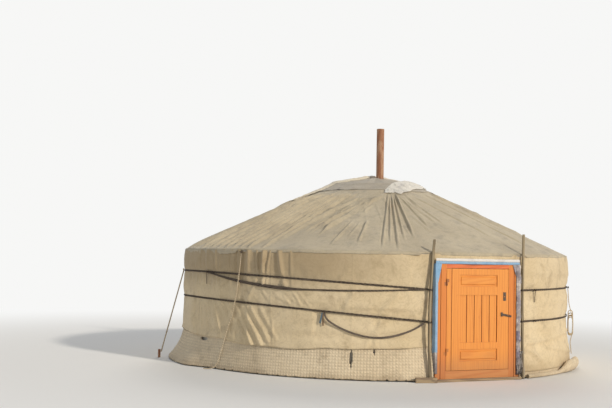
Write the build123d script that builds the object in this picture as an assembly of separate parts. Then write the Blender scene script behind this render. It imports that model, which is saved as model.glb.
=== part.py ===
from build123d import *
import os
from math import asin, cos, degrees, hypot, radians, sin, tan

# A five-section felt tent: lattice wall, roof poles, crown wheel, felt, canvas and one wooden door.
# Millimetres and degrees. The origin is on the ground at the middle, +Z is up, the door faces -Y.
# The cloth runs round the tent in narrow flats, and its radii are measured to the middle of a flat.

# Wall and roof lines, measured to the outside of the canvas
wall_radius = 2900.0
eave_height = 1620.0
roof_pitch = 24.8
door_bearing = -90.0

# Sheet and layer thicknesses, and the number of flats that a sheet makes round the tent
canvas_thickness = 4.0
felt_thickness = 30.0
lattice_thickness = 24.0
seat_gap = 0.3
sheet_seam = 2.0
sheet_flats = 48

# Lattice wall
lattice_sections = 5
lattice_columns = 9
lattice_rows = 6
slat_width = 34.0
section_gap = 4.0

# Roof poles
pole_width = 36.0
pole_depth = 40.0
poles_over_door = 3
tip_clearance = 2.0

# Crown wheel, its rim sawn in short straight pieces
crown_radius = 690.0
crown_rim_width = 90.0
crown_rim_depth = 110.0
rim_flats = 48
spoke_count = 6
spoke_width = 30.0
spoke_depth = 40.0
spoke_rim_bite = 20.0
spoke_hub_bite = 10.0
spoke_shoulder = 5.0
spoke_belly = 0.7
hub_radius = 105.0
hub_hole_radius = 65.0
hub_depth = 44.0
crown_rise = 120.0

# Crown posts
post_width = 74.0
post_foot_width = 190.0
post_foot_height = 60.0
post_head_width = 330.0
post_head_height = 130.0

# Crown cloth, and the cloth folded back over its far half
cover_radius = 760.0
cover_flats = 24
cover_thickness = 6.0
cover_lift = 12.0
cover_crest_radius = 168.0
cover_crest_drop = 6.0
cover_pipe_gap = 8.0
roof_hole_gap = 12.0
flap_thickness = 14.0
flap_step = 30.0
flap_plan = ((-1400, 120), (-500, -20), (880, -90), (820, 620), (-60, 1330))

# Chimney
chimney_radius = 57.5
chimney_wall = 2.0
chimney_top = 3530.0
chimney_tail = 140.0
chimney_x = -20.0
chimney_y = -207.0
chimney_flange = 22.0
chimney_flange_thickness = 6.0
plate_thickness = 3.0
plate_bearing_width = 40.0
plate_spoke_gap = 4.0
plate_pipe_gap = 1.0
plate_inner_share = 0.55

# Door frame
frame_width = 1270.0
frame_under_eave = 140.0
frame_depth = 110.0
frame_set_back = 20.0
jamb_width = 160.0
jamb_groove_inset = 72.0
head_height = 50.0
sill_height = 100.0
sill_lift = 30.0
ground_sill_out = 70.0
stop_width = 18.0
groove_width = 9.0
groove_depth = 6.0
cover_clearance = 3.0

# Door leaf: rails from the top down, then the stiles
leaf_gap = 5.0
leaf_thickness = 45.0
top_rail = 79.0
top_panel_height = 150.0
lock_rail = 109.0
lower_rail = 86.0
bottom_panel_height = 151.0
bottom_rail = 112.0
stile_width_hinge = 190.0
stile_width_lock = 175.0
stile_groove_inset = 68.0
panel_thickness = 24.0
panel_raise = 10.0
panel_bevel = 22.0
panel_fit = 0.3
door_slat_count = 5
door_slat_thickness = 24.0
door_slat_gap = 3.0
door_slat_chamfer = 5.0

# Hinges
hinge_from_foot = 235.0
hinge_from_top = 175.0
pin_radius = 5.0
pin_play = 0.1
pin_recess = 1.0
knuckle_radius = 9.0
knuckle_length = 42.0
knuckle_gap = 0.3
hinge_plate_width = 34.0
hinge_plate_thickness = 2.5

# Lock plate and hasp
lock_plate_width = 42.0
lock_plate_height = 110.0
lock_plate_thickness = 4.0
lock_plate_round = 5.0
lock_from_top = 355.0
lock_inset = 62.0
keyhole_radius = 6.0
keyhole_length = 18.0
hasp_length = 150.0
hasp_width = 26.0
hasp_thickness = 4.0
hasp_stand_off = 7.0
hasp_under_lock = 230.0
hasp_inset = 105.0
hasp_drop = 28.0

# Lintel over the door
lintel_length = 1120.0
lintel_thickness = 60.0
lintel_under_eave = 22.0
lintel_clearance = 1.2

# Skirt round the foot, and the rolled end of it that lies on the ground to the right of the door
skirt_height = 437.0
skirt_flare = 58.0
skirt_thickness = 5.0
skirt_pieces = 4
felt_pieces = 4
roof_felt_pieces = 4
roll_bearings = (-75.0, -54.0, -40.0)
roll_thickness = 62.0
bundle_thickness = 130.0
bundle_height = 185.0
roll_round = 14.0

# Cloth edging round the doorway
edging_thickness = 14.0
edging_height = 22.0
edging_lift = 4.0

# Belts round the wall: height at the left side, beside the door and at the right side
belt_width = 22.0
belt_thickness = 9.0
upper_belt_heights = (1310.0, 1150.0, 1172.0)
middle_belt_heights = (945.0, 742.0, 755.0)
# A second, slack strand of the upper belt: where it runs and how far it hangs below the belt
slack_strand = ((-2868, 0), (-2745, 120), (-2190, 138), (-1785, 105), (-700, 0))
slack_width = 16.0

# Knots
knot_width = 60.0
knot_height = 34.0
knot_depth = 26.0
upper_knots = (-170.0, -70.0, -40.0)
middle_knots = (-130.0, -105.0, -70.0)
eave_knot = -155.0
eave_knot_drop = 35.0

# Poles leaning beside the door, placed from the outer edge of the frame
door_pole_radius = 17.0
left_pole_length = 1790.0
right_pole_length = 1890.0
left_pole_foot_out = 71.0
left_pole_top_out = 33.0
right_pole_foot_out = 57.0
right_pole_top_out = 77.0

# Taut ropes that hold the tent down, and their stakes
guy_radius = 9.0
guy_bearing = 165.0
stake_reach = 355.0
stake_radius = 19.0
stake_length = 120.0
stake_tie_share = 0.7

# Timber on the ground beside the door
timber_length = 270.0
timber_size = 62.0
timber_bearing = -105.0

# Loose ropes. A route is a list of bearing, distance from the axis and height.
strap_radius = 8.0
strap_route = (
    (-130.0, 2924, 833.8), (-129.8, 2923, 764), (-127.4, 2920, 682), (-124.0, 2920, 606),
    (-120.6, 2920, 556), (-117.0, 2920, 535), (-113.5, 2920, 553), (-110.1, 2920, 600),
    (-107.1, 2920, 662), (-105.2, 2922, 730),
)
tail_radius = 5.0
tail_routes = (
    ((-130.27, 2924, 834.6), (-130.4, 2922, 752), (-130.3, 2920, 668)),
    ((-130.48, 2924, 833.9), (-130.8, 2922, 765), (-131.1, 2920, 700)),
    ((-170.0, 2922, 1289.2), (-170.1, 2920, 1215), (-170.0, 2918, 1138)),
    ((-70.0, 2922, 1135.5), (-70.2, 2920, 1065), (-70.1, 2918, 990)),
)
rope_radius = 6.0
hank_bearing = -40.0
hank_length = 440.0
hank_width = 190.0
hank_thickness = 60.0
hank_middle = 670.0
hank_corner = 70.0
hank_lead = ((-40.0, 2924, 1147.6), (-40.3, 2932, 1020), (-40.0, 2941, 891.2))
hank_tail = ((-40.0, 2941, 448.8), (-40.2, 2956, 368), (-39.8, 2967, 282), (-40.1, 2975, 200))
front_rope_route = (
    (-155.0, 2914, 1566.8), (-155.1, 2922, 1450), (-155.4, 2926, 1310), (-155.8, 2928, 1170),
    (-156.2, 2928, 1030), (-156.9, 2929, 890), (-157.6, 2927, 760), (-158.9, 2926, 620),
    (-160.0, 2927, 490), (-160.8, 2937, 360), (-161.4, 2953, 230), (-162.0, 2972, 105),
    (-162.8, 2998, 26), (-163.8, 3045, 8), (-165.2, 3089, 8),
)

bottom = (Align.CENTER, Align.CENTER, Align.MIN)


def save(node, shape):
    """Write one named piece."""
    export_step(shape, f"parts/{node}.step")
    print(node, round(shape.volume * 1e-6, 2), "litres")


def polar(radius, angle, z=0.0):
    """A point at a radius and a bearing."""
    return (radius * cos(radians(angle)), radius * sin(radians(angle)), z)


def roof_height(radius, depth=0.0):
    """Height of the roof line at a radius, and so far below it, measured square to the slope."""
    slope = radians(roof_pitch)
    return eave_height + (wall_radius - radius) * tan(slope) - depth / cos(slope)


def folded_ring(profile, flats=sheet_flats):
    """A sheet folded round the tent in flats, from its section of (radius, height) points."""
    spread = 1 / cos(radians(180 / flats))
    rows = []
    for index in range(flats):
        bearing = (index + 0.5) * 360 / flats
        rows.append([polar(radius * spread, bearing, z) for radius, z in profile])
    faces = []
    for row, next_row in zip(rows, rows[1:] + rows[:1]):
        for low in range(len(profile)):
            high = (low + 1) % len(profile)
            corners = dict.fromkeys((row[low], next_row[low], next_row[high], row[high]))
            if len(corners) > 2:
                faces.append(Face(Wire.make_polygon(corners)))
    return Solid(Shell(faces))


def folded_wall(inner, outer, low, high, flats=sheet_flats):
    """An upright sheet or a rim round the axis."""
    return folded_ring(((inner, low), (outer, low), (outer, high), (inner, high)), flats)


def sector(first, last, low, high):
    """A wedge of space between two bearings, for cutting rings into pieces."""
    steps = 3
    bearings = [first + (last - first) * i / steps for i in range(steps + 1)]
    corners = [(0, 0)] + [polar(reach, b)[:2] for b in bearings]
    return Pos(0, 0, low) * extrude(make_face(Polyline(*corners, close=True)), high - low)


def wall_pieces(ring, count):
    """A ring cut into sheets at its seams, and clear of the doorway."""
    half_doorway = degrees(asin(side_gap / felt_outside))
    sweep = (360 - 2 * half_doorway) / count
    seam = degrees(sheet_seam / 2 / felt_outside)
    pieces = []
    for index in range(count):
        first = door_bearing + half_doorway + index * sweep
        start = first - half_doorway / 2 if index == 0 else first + seam
        end = first + sweep + half_doorway / 2 if index == count - 1 else first + sweep - seam
        pieces.append((ring & sector(start, end, 0, eave_height)) - doorway)
    return Compound(pieces)


def upright(x_low, x_high, y_low, y_high, z_low, z_high):
    """A squared timber between its limits."""
    size = (x_high - x_low, y_high - y_low, z_high - z_low)
    return Pos(x_low, y_low, z_low) * Box(*size, align=Align.MIN)


def flat_bearing(bearing):
    """The bearing that the nearest flat of a sheet faces."""
    side = 360 / sheet_flats
    return round(bearing / side) * side


def on_flat(distance, bearing, height):
    """A point at a bearing, a distance out on the line that the nearest flat faces."""
    return polar(distance / cos(radians(bearing - flat_bearing(bearing))), bearing, height)


def stand_off(radius, x, distance):
    """The y at which something stands a distance off the front of a sheet, at a given x."""
    flat = radians(flat_bearing(door_bearing + degrees(asin(x / radius))))
    return (radius + distance - x * cos(flat)) / sin(flat)


# Radii of the layers, from the outside in
felt_outside = wall_radius - canvas_thickness
felt_inside = felt_outside - felt_thickness
lattice_outside = felt_inside - seat_gap
lattice_inside = lattice_outside - lattice_thickness
skirt_outside = felt_outside + skirt_flare + skirt_thickness
belt_inside = wall_radius + seat_gap
belt_face = belt_inside + belt_thickness
reach = 1.2 * wall_radius

# Depths of the roof layers below the roof line
felt_under = canvas_thickness + felt_thickness
pole_top_depth = felt_under + 2 * seat_gap
pole_mid_depth = pole_top_depth + pole_depth / 2

# Doorway
frame_half = frame_width / 2
frame_top = eave_height - frame_under_eave
frame_front = frame_set_back - wall_radius
frame_back = frame_front + frame_depth
side_gap = frame_half + cover_clearance
doorway = upright(-side_gap, side_gap, -reach, 0, 0, eave_height)
doorway_half_angle = degrees(asin(side_gap / lattice_inside))
wall_start = door_bearing + doorway_half_angle
wall_sweep = 360.0 - 2 * doorway_half_angle
column_step = wall_sweep / (lattice_sections * lattice_columns)

# Roof pole ends and crown heights
pole_foot_radius = felt_inside - 2 * seat_gap - pole_depth / 2 * sin(radians(roof_pitch))
pole_tip_radius = crown_radius + pole_depth / 2 * sin(radians(roof_pitch)) + tip_clearance
pole_foot_low = roof_height(pole_foot_radius, pole_mid_depth) - pole_depth / 2 * cos(radians(roof_pitch))
lattice_top = pole_foot_low - seat_gap
crown_low = roof_height(crown_radius, pole_mid_depth) - crown_rim_depth / 2
crown_high = crown_low + crown_rim_depth
hub_top = crown_high + crown_rise
rim_inside = crown_radius - crown_rim_width


def lattice_section():
    """One folding wall section: crossed slats with diamond gaps, standing at bearing zero."""
    bearings = [i * column_step for i in range(lattice_columns + 1)]
    trim = degrees(section_gap / 2 / lattice_outside)
    bearings[0] += trim
    bearings[-1] -= trim
    outer = [polar(lattice_outside, b)[:2] for b in bearings]
    inner = [polar(lattice_inside, b)[:2] for b in reversed(bearings)]
    panel = extrude(make_face(Polyline(*outer, *inner, close=True)), lattice_top)
    half_wide = radians(column_step) * lattice_inside / 2
    half_high = lattice_top / lattice_rows
    open_share = 1 - slat_width / 2 * hypot(1 / half_wide, 1 / half_high)
    wide, high = half_wide * open_share, half_high * open_share
    gap = Polygon((-wide, 0), (0, -high), (wide, 0), (0, high), align=None)
    tools = []
    for level in range(lattice_rows + 1):
        shift = 0.0 if level % 2 else 0.5
        count = lattice_columns + 1 if level % 2 else lattice_columns
        for column in range(count):
            bearing = (column + shift) * column_step
            centre = polar(lattice_inside, bearing, level * half_high)
            face = Plane(centre, x_dir=polar(1, bearing + 90), z_dir=polar(1, bearing))
            tools.append(extrude(face * gap, 2 * lattice_thickness, both=True))
    return panel - tools


def roof_pole(play=0.0):
    """One roof pole lying in the XZ plane, from the wall to the crown rim, or its seat with some play."""
    foot = (pole_foot_radius, 0, roof_height(pole_foot_radius, pole_mid_depth))
    tip = (pole_tip_radius, 0, roof_height(pole_tip_radius, pole_mid_depth))
    along = Vector(tip) - Vector(foot)
    face = Plane(foot, x_dir=(0, 1, 0), z_dir=along.normalized())
    return extrude(face * Rectangle(pole_width + play, pole_depth + play), along.length)


def roof_sheet(inner_radius, outer_radius, depth, thickness):
    """A layer of the roof, with upright edges."""
    return folded_ring((
        (inner_radius, roof_height(inner_radius, depth + thickness)),
        (outer_radius, roof_height(outer_radius, depth + thickness)),
        (outer_radius, roof_height(outer_radius, depth)),
        (inner_radius, roof_height(inner_radius, depth)),
    ))


def belt_height(heights, x):
    """Middle height of a belt where it passes a given x."""
    left, door, right = heights
    side = left if x < 0 else right
    return door + (side - door) * (abs(x) - frame_half) / (belt_face - frame_half)


def belt_space(line, width, whole_round):
    """The slice of space that a strand lies in, from the (x, height) points of its middle."""
    low = [(x, z - width / 2) for x, z in line]
    high = [(x, z + width / 2) for x, z in reversed(line)]
    return extrude(Plane.XZ * make_face(Polyline(*low, *high, close=True)), reach, both=whole_round)


def belt(heights, slack=()):
    """A flat rope belt pulled round the wall, with a slack strand in front where one is given."""
    stops = (-reach, -frame_half, frame_half, reach)
    band = belt_space([(x, belt_height(heights, x)) for x in stops], belt_width, True)
    if slack:
        line = [(x, belt_height(heights, x) - drop) for x, drop in slack]
        band += belt_space(line, slack_width, False)
    hoop = folded_wall(belt_inside, belt_face, 0, eave_height)
    return (hoop & band) - upright(-frame_half, frame_half, -reach, frame_back, 0, eave_height)


def flat_face(distance, bearing, height):
    """A plane on the face of the nearest flat, with its own x axis level."""
    facing = flat_bearing(bearing)
    return Plane(on_flat(distance, bearing, height), x_dir=polar(1, facing + 90), z_dir=polar(1, facing))


def knot(bearing, height, face_radius):
    """A tied knot standing on the face of a belt or of the canvas."""
    base = flat_face(face_radius + seat_gap, bearing, height)
    return extrude(base * Rectangle(knot_width, knot_height), knot_depth)


def loose_rope(route, radius):
    """A limp rope: straight runs joined by arcs as large as the runs allow."""
    points = [Vector(*polar(distance, bearing, z)) for bearing, distance, z in route]
    radii = []
    for before, here, after in zip(points, points[1:], points[2:]):
        turn = (here - before).get_angle(after - here)
        run = min((here - before).length, (after - here).length)
        radii.append(0.45 * run / tan(radians(turn / 2)))
    path = FilletPolyline(*points, radius=radii)
    section = Plane(path @ 0, z_dir=path % 0) * RegularPolygon(radius, 4)
    rope = sweep(section, path)
    share = rope.volume / (section.area * path.length)
    print("rope of", round(path.length), "mm, volume share", round(share, 4), "radii", [round(r) for r in radii])
    return rope


def straight_rope(start, end, radius, flat_side):
    """A taut rope of eight sides between two points, with one flat turned to flat_side."""
    along = Vector(end) - Vector(start)
    face = Plane(start, x_dir=flat_side, z_dir=along.normalized())
    section = RegularPolygon(radius, 8, major_radius=False, rotation=22.5)
    return extrude(face * section, along.length)


def hinge_barrel(height):
    """The pin and lower knuckle fixed to the frame, and the upper knuckle on the leaf."""
    low = height - knuckle_length
    pin = Pos(hinge_x, hinge_y, height) * Cylinder(pin_radius, 2 * (knuckle_length - pin_recess))
    lower = Pos(hinge_x, hinge_y, low) * Cylinder(knuckle_radius, knuckle_length, align=bottom)
    plate_back = frame_front - hinge_plate_thickness
    lower_plate = upright(
        hinge_x - hinge_plate_width, hinge_x, plate_back, frame_front, low, height
    )
    upper_low = height + knuckle_gap
    upper = Pos(hinge_x, hinge_y, upper_low) * Cylinder(knuckle_radius, knuckle_length, align=bottom)
    upper_plate = upright(
        hinge_x, hinge_x + hinge_plate_width, plate_back, frame_front, upper_low, upper_low + knuckle_length
    )
    bore = Pos(hinge_x, hinge_y, height) * Cylinder(pin_radius + pin_play, 3 * knuckle_length)
    return pin + lower + lower_plate, upper + upper_plate - bore


def door_pole(foot_x, top_x, length):
    """A thin pole standing on the ground just clear of the skirt and leaning on the eave."""
    clearance = door_pole_radius + 2 * seat_gap
    foot_y = stand_off(skirt_outside, foot_x, clearance)
    eave_x = foot_x + (top_x - foot_x) * eave_height / length
    eave_y = stand_off(wall_radius + canvas_thickness, eave_x, clearance)
    along = Vector(eave_x - foot_x, eave_y - foot_y, eave_height)
    face = Plane((foot_x, foot_y, 0), x_dir=(1, 0, 0), z_dir=along.normalized())
    stick = extrude(face * Circle(door_pole_radius), length)
    return stick & upright(-wall_radius, wall_radius, -2 * wall_radius, 0, 0, 2 * length)


os.makedirs("parts", exist_ok=True)

# Lattice wall sections
section = lattice_section()
for index in range(lattice_sections):
    turn = wall_start + index * lattice_columns * column_step
    save(f"lattice_wall_{index + 1}", Rot(0, 0, turn) * section)

# Felt wall in sheets, and the part over the door
felt_top = roof_height(felt_outside, felt_under) - seat_gap
felt_ring = folded_wall(felt_inside, felt_outside, 0, felt_top)
save("felt_wall", wall_pieces(felt_ring, felt_pieces))
over_half = side_gap - sheet_seam / 2
over_door = upright(-over_half, over_half, -reach, 0, frame_top + seat_gap, eave_height)
save("felt_over_door", felt_ring & over_door)

# Wall canvas with the doorway cut out
canvas_top = roof_height(wall_radius, canvas_thickness) - seat_gap
canvas_low = skirt_height + seat_gap
canvas = folded_wall(felt_outside, wall_radius, canvas_low, canvas_top)
canvas -= upright(-side_gap, side_gap, -reach, 0, 0, frame_top + seat_gap)
save("wall_canvas", canvas)

# Skirt of quilted canvas round the foot of the wall
skirt_ring = folded_ring((
    (felt_outside + skirt_flare, 0),
    (skirt_outside, 0),
    (felt_outside + skirt_thickness, skirt_height),
    (felt_outside, skirt_height),
))
save("skirt", wall_pieces(skirt_ring, skirt_pieces))

# The end of the skirt, rolled up and lying on the ground
roll_inside = skirt_outside + seat_gap


def rolled_edge(thickness, height, first, last):
    """A soft roll that lies along the foot of the skirt between two bearings."""
    outside = roll_inside + thickness
    ring = folded_ring((
        (roll_inside, 0),
        (outside, 0),
        (outside, height - roll_round),
        (outside - roll_round, height),
        (roll_inside + roll_round, height),
        (roll_inside, height - roll_round),
    ))
    return ring & sector(first, last, 0, eave_height)


roll_start, bundle_start, bundle_end = roll_bearings
hem = rolled_edge(roll_thickness, roll_thickness, roll_start, bundle_start)
hem += rolled_edge(bundle_thickness, bundle_height, bundle_start, bundle_end)
save("hem_bundle", hem)

# Roof poles, one on each lattice head and some over the door
pole = roof_pole()
heads = lattice_sections * lattice_columns
inset = degrees((pole_width / 2 + section_gap) / pole_foot_radius)
bearings = [wall_start + i * column_step for i in range(heads + 1)]
bearings[0] += inset
bearings[-1] -= inset
door_step = 2 * doorway_half_angle / (poles_over_door + 1)
over = [wall_start - (i + 1) * door_step for i in range(poles_over_door)]
save("roof_poles", Compound([Rot(0, 0, b) * pole for b in bearings + over]))

# Roof felt in sheets, and the roof canvas
roof_inner = crown_radius + roof_hole_gap
roof_felt = roof_sheet(roof_inner, felt_outside, canvas_thickness, felt_thickness)
felt_share = 360 / roof_felt_pieces
roof_seam = degrees(sheet_seam / 2 / roof_inner)
sheets = []
for index in range(roof_felt_pieces):
    first = door_bearing + (index - 0.5) * felt_share
    wedge = sector(first + roof_seam, first + felt_share - roof_seam, 0, 2 * eave_height)
    sheets.append(roof_felt & wedge)
save("roof_felt", Compound(sheets))
save("roof_canvas", roof_sheet(roof_inner, wall_radius + canvas_thickness, 0, canvas_thickness))

# Crown wheel: rim, arched spokes and hub
wheel = folded_wall(rim_inside, crown_radius, crown_low, crown_high, rim_flats)
hub = Circle(hub_radius) - Circle(hub_hole_radius)
wheel += Pos(0, 0, hub_top - hub_depth) * extrude(hub, hub_depth)
spoke_foot = (rim_inside + spoke_rim_bite, crown_high - spoke_shoulder)
spoke_middle = ((rim_inside + hub_radius) / 2, crown_high + spoke_belly * crown_rise)
spoke_head = (hub_radius - spoke_hub_bite, hub_top - spoke_shoulder)
outer_arc = ThreePointArc(spoke_foot, spoke_middle, spoke_head)
inner_arc = Pos(0, -spoke_depth) * outer_arc
spoke_face = make_face(
    outer_arc + Line(outer_arc @ 1, inner_arc @ 1) + inner_arc + Line(inner_arc @ 0, outer_arc @ 0)
)
spoke = extrude(Plane.XZ * spoke_face, spoke_width / 2, both=True)
for index in range(spoke_count):
    wheel += Rot(0, 0, index * 360 / spoke_count) * spoke
save("crown_wheel", wheel)

# Two posts under the rim
post_radius = crown_radius - crown_rim_width / 2
shaft_top = crown_low - seat_gap - post_head_height
posts = []
for side in (-1, 1):
    place = Pos(side * post_radius, 0, 0)
    foot = Box(post_foot_width, post_foot_width, post_foot_height, align=bottom)
    shaft = Pos(0, 0, post_foot_height) * Box(
        post_width, post_width, shaft_top - post_foot_height, align=bottom
    )
    head_profile = Polygon(
        (-post_width / 2, shaft_top),
        (post_width / 2, shaft_top),
        (post_head_width / 2, shaft_top + post_head_height),
        (-post_head_width / 2, shaft_top + post_head_height),
        align=None,
    )
    head = extrude(Plane.YZ * head_profile, post_width / 2, both=True)
    posts.append(place * (foot + shaft + head))
save("crown_posts", Compound(posts))

# Sheet-metal plate between two spokes, with the chimney hung in it by a flange
plate_low = crown_high + seat_gap
spoke_clear = degrees(asin((spoke_width / 2 + plate_spoke_gap) / (rim_inside - plate_bearing_width)))
plate_half = 180 / spoke_count - spoke_clear
plate_outer = rim_inside + plate_bearing_width
corners = [polar(plate_outer, door_bearing + s * plate_half)[:2] for s in (-1, 1)]
inner_corners = [polar(hub_radius, door_bearing + s * plate_half * plate_inner_share)[:2] for s in (1, -1)]
plate = Pos(0, 0, plate_low) * extrude(
    make_face(Polyline(*corners, *inner_corners, close=True)), plate_thickness
)
plate -= Pos(chimney_x, chimney_y, plate_low) * Cylinder(chimney_radius + plate_pipe_gap, 4 * plate_thickness)
save("chimney_plate", plate)
flange_low = plate_low + plate_thickness + seat_gap
pipe = Pos(chimney_x, chimney_y, flange_low - chimney_tail) * Cylinder(
    chimney_radius, chimney_top - flange_low + chimney_tail, align=bottom
)
pipe += Pos(chimney_x, chimney_y, flange_low) * Cylinder(
    chimney_radius + chimney_flange, chimney_flange_thickness, align=bottom
)
pipe -= Pos(chimney_x, chimney_y, 0) * Cylinder(chimney_radius - chimney_wall, 2 * chimney_top)
save("chimney", pipe)

# Cloth over the crown, lying on the wheel and the edge of the roof canvas
cover_top = hub_top + cover_lift
cover_line = [
    (0, cover_top),
    (cover_crest_radius, cover_top - cover_crest_drop),
    (crown_radius, roof_height(crown_radius) + cover_lift),
    (cover_radius, roof_height(cover_radius) + seat_gap),
]
cover_upper = [(radius, z + cover_thickness) for radius, z in cover_line]
cover = folded_ring(cover_line + cover_upper[::-1], cover_flats)
cover -= Pos(chimney_x, chimney_y, cover_top) * Cylinder(chimney_radius + cover_pipe_gap, chimney_top - cover_top)
save("crown_cover", cover)

# The cloth folded back over the far half of the crown
flap_reach = max(hypot(x, y) for x, y in flap_plan) + flap_step
flap_line = [(radius, z + seat_gap) for radius, z in cover_upper]
for radius in (cover_radius + flap_step, flap_reach):
    flap_line.append((radius, roof_height(radius) + seat_gap))
flap_upper = [(radius, z + flap_thickness) for radius, z in reversed(flap_line)]
flap_edge = extrude(make_face(Polyline(*flap_plan, close=True)), chimney_top)
save("crown_flap", folded_ring(flap_line + flap_upper, cover_flats) & flap_edge)

# Door frame, each jamb with a stop for the leaf and a groove down its face
opening_half = frame_half - jamb_width
sill_top = sill_lift + sill_height
opening_top = frame_top - head_height
leaf_back = frame_front + leaf_thickness
stop_front = leaf_back + leaf_gap
groove_back = frame_front + groove_depth
for side, name in ((-1, "left"), (1, "right")):
    edges = sorted((side * frame_half, side * opening_half))
    jamb = upright(*edges, frame_front, frame_back, sill_lift, frame_top)
    stop = sorted((side * opening_half, side * (opening_half - stop_width)))
    jamb += upright(*stop, stop_front, frame_back, sill_top, opening_top)
    groove = sorted((side * (frame_half - jamb_groove_inset), side * (frame_half - jamb_groove_inset - groove_width)))
    jamb -= upright(*groove, frame_front, groove_back, sill_lift, frame_top)
    save(f"door_jamb_{name}", jamb)
head = upright(-opening_half, opening_half, frame_front, frame_back, opening_top, frame_top)
save("door_head", head)
sill = upright(-opening_half, opening_half, frame_front, frame_back, sill_lift, sill_top)
save("door_sill", sill)
ground = upright(-frame_half, frame_half, frame_front - ground_sill_out, frame_back, 0, sill_lift)
save("ground_sill", ground)

# Lintel behind the felt, notched for the poles over the door
lintel_front = stand_off(felt_inside, lintel_length / 2, -lintel_clearance)
lintel_top = eave_height - lintel_under_eave
lintel = upright(
    -lintel_length / 2, lintel_length / 2, lintel_front, lintel_front + lintel_thickness, frame_top, lintel_top
)
pole_seat = roof_pole(play=2 * seat_gap)
for bearing in over:
    lintel -= Rot(0, 0, bearing) * pole_seat
save("door_lintel", lintel)

# Door leaf: stiles and rails, two raised panels and upright boards
leaf_half = opening_half - leaf_gap
leaf_low = sill_top + leaf_gap
leaf_high = opening_top - leaf_gap
leaf = upright(-leaf_half, leaf_half, frame_front, leaf_back, leaf_low, leaf_high)
field_left = -leaf_half + stile_width_hinge
field_right = leaf_half - stile_width_lock
top_panel_high = leaf_high - top_rail
top_panel_low = top_panel_high - top_panel_height
slat_field_high = top_panel_low - lock_rail
bottom_panel_low = leaf_low + bottom_rail
bottom_panel_high = bottom_panel_low + bottom_panel_height
slat_field_low = bottom_panel_high + lower_rail
panel_fields = ((top_panel_low, top_panel_high), (bottom_panel_low, bottom_panel_high))
for low, high in panel_fields + ((slat_field_low, slat_field_high),):
    leaf -= upright(field_left, field_right, frame_front, leaf_back, low, high)
stile_groove = -leaf_half + stile_groove_inset
leaf -= upright(stile_groove, stile_groove + groove_width, frame_front, groove_back, leaf_low, leaf_high)
save("door_leaf", leaf)
panels = []
panel_front = frame_front + (leaf_thickness - panel_thickness) / 2
for low, high in panel_fields:
    board = upright(
        field_left + panel_fit,
        field_right - panel_fit,
        panel_front,
        panel_front + panel_thickness,
        low + panel_fit,
        high - panel_fit,
    )
    middle = ((field_left + field_right) / 2, panel_front, (low + high) / 2)
    wide = field_right - field_left - 2 * panel_bevel
    tall = high - low - 2 * panel_bevel
    base = Plane(middle, x_dir=(1, 0, 0), z_dir=(0, -1, 0))
    raised = extrude(base * Rectangle(wide, tall), panel_raise, taper=45)
    panels.append(board + raised)
save("door_panels", Compound(panels))
boards = []
slat_pitch = (field_right - field_left) / door_slat_count
slat_front = frame_front + (leaf_thickness - door_slat_thickness) / 2
for index in range(door_slat_count):
    left = field_left + index * slat_pitch + door_slat_gap / 2
    right = field_left + (index + 1) * slat_pitch - door_slat_gap / 2
    board = upright(
        left, right, slat_front, slat_front + door_slat_thickness,
        slat_field_low + panel_fit, slat_field_high - panel_fit,
    )
    front_edges = board.edges().filter_by(Axis.Z).group_by(Axis.Y)[0]
    boards.append(chamfer(front_edges, door_slat_chamfer))
save("door_slats", Compound(boards))

# Hinges at the left jamb
hinge_x = -opening_half + leaf_gap / 2
hinge_y = frame_front - knuckle_radius
pairs = [hinge_barrel(height) for height in (leaf_low + hinge_from_foot, leaf_high - hinge_from_top)]
save("hinge_pins", Compound([fixed for fixed, moving in pairs]))
save("hinge_knuckles", Compound([moving for fixed, moving in pairs]))

# Lock plate with keyhole, and a hasp strap that stands off the jamb
lock_x = leaf_half - lock_inset
lock_height = leaf_high - lock_from_top
lock_face = Plane((lock_x, frame_front, lock_height), x_dir=(1, 0, 0), z_dir=(0, -1, 0))
lock_outline = RectangleRounded(lock_plate_width, lock_plate_height, lock_plate_round)
lock_plate = extrude(lock_face * lock_outline, lock_plate_thickness)
keyhole = Circle(keyhole_radius) + Pos(0, -keyhole_length / 2) * Rectangle(keyhole_radius, keyhole_length)
lock_plate -= extrude(lock_face * keyhole, lock_plate_thickness)
save("lock_plate", lock_plate)
hasp_face = Plane(
    (leaf_half - hasp_inset, frame_front, lock_height - hasp_under_lock), x_dir=(1, 0, 0), z_dir=(0, -1, 0)
)
hasp_turn = degrees(asin(hasp_drop / hasp_length))
strap = Pos(hasp_length / 2, 0) * SlotOverall(hasp_length, hasp_width)
strap -= Pos(hasp_length * 0.72, 0) * SlotOverall(hasp_length * 0.3, hasp_width * 0.3)
hasp = extrude(hasp_face.offset(hasp_stand_off) * Rot(0, 0, -hasp_turn) * strap, hasp_thickness)
hasp += extrude(hasp_face * Rectangle(hasp_width, 2 * hasp_width), hasp_stand_off + hasp_thickness)
save("hasp", hasp)

# Cloth edging: a band over the frame, and strips beside it above the skirt
band_low = frame_top + edging_lift
band = folded_wall(
    wall_radius + seat_gap, wall_radius + edging_thickness / 2, band_low, band_low + edging_height
)
edging = [band & upright(-frame_half, frame_half, -reach, 0, 0, eave_height)]
strip_back = stand_off(belt_face, frame_half, 2 * seat_gap)
for side in (-1, 1):
    edges = sorted((side * (frame_half + seat_gap), side * (frame_half + edging_thickness)))
    edging.append(upright(*edges, frame_front, strip_back, canvas_low, frame_top))
save("door_edging", Compound(edging))

# Belts and the knots tied on them
save("upper_belt", belt(upper_belt_heights, slack_strand))
save("middle_belt", belt(middle_belt_heights))
knots = [knot(eave_knot, eave_height - eave_knot_drop, wall_radius)]
for heights, bearings_of_knots in ((upper_belt_heights, upper_knots), (middle_belt_heights, middle_knots)):
    for bearing in bearings_of_knots:
        knots.append(knot(bearing, belt_height(heights, polar(belt_face, bearing)[0]), belt_face))
save("knots", Compound(knots))

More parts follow.
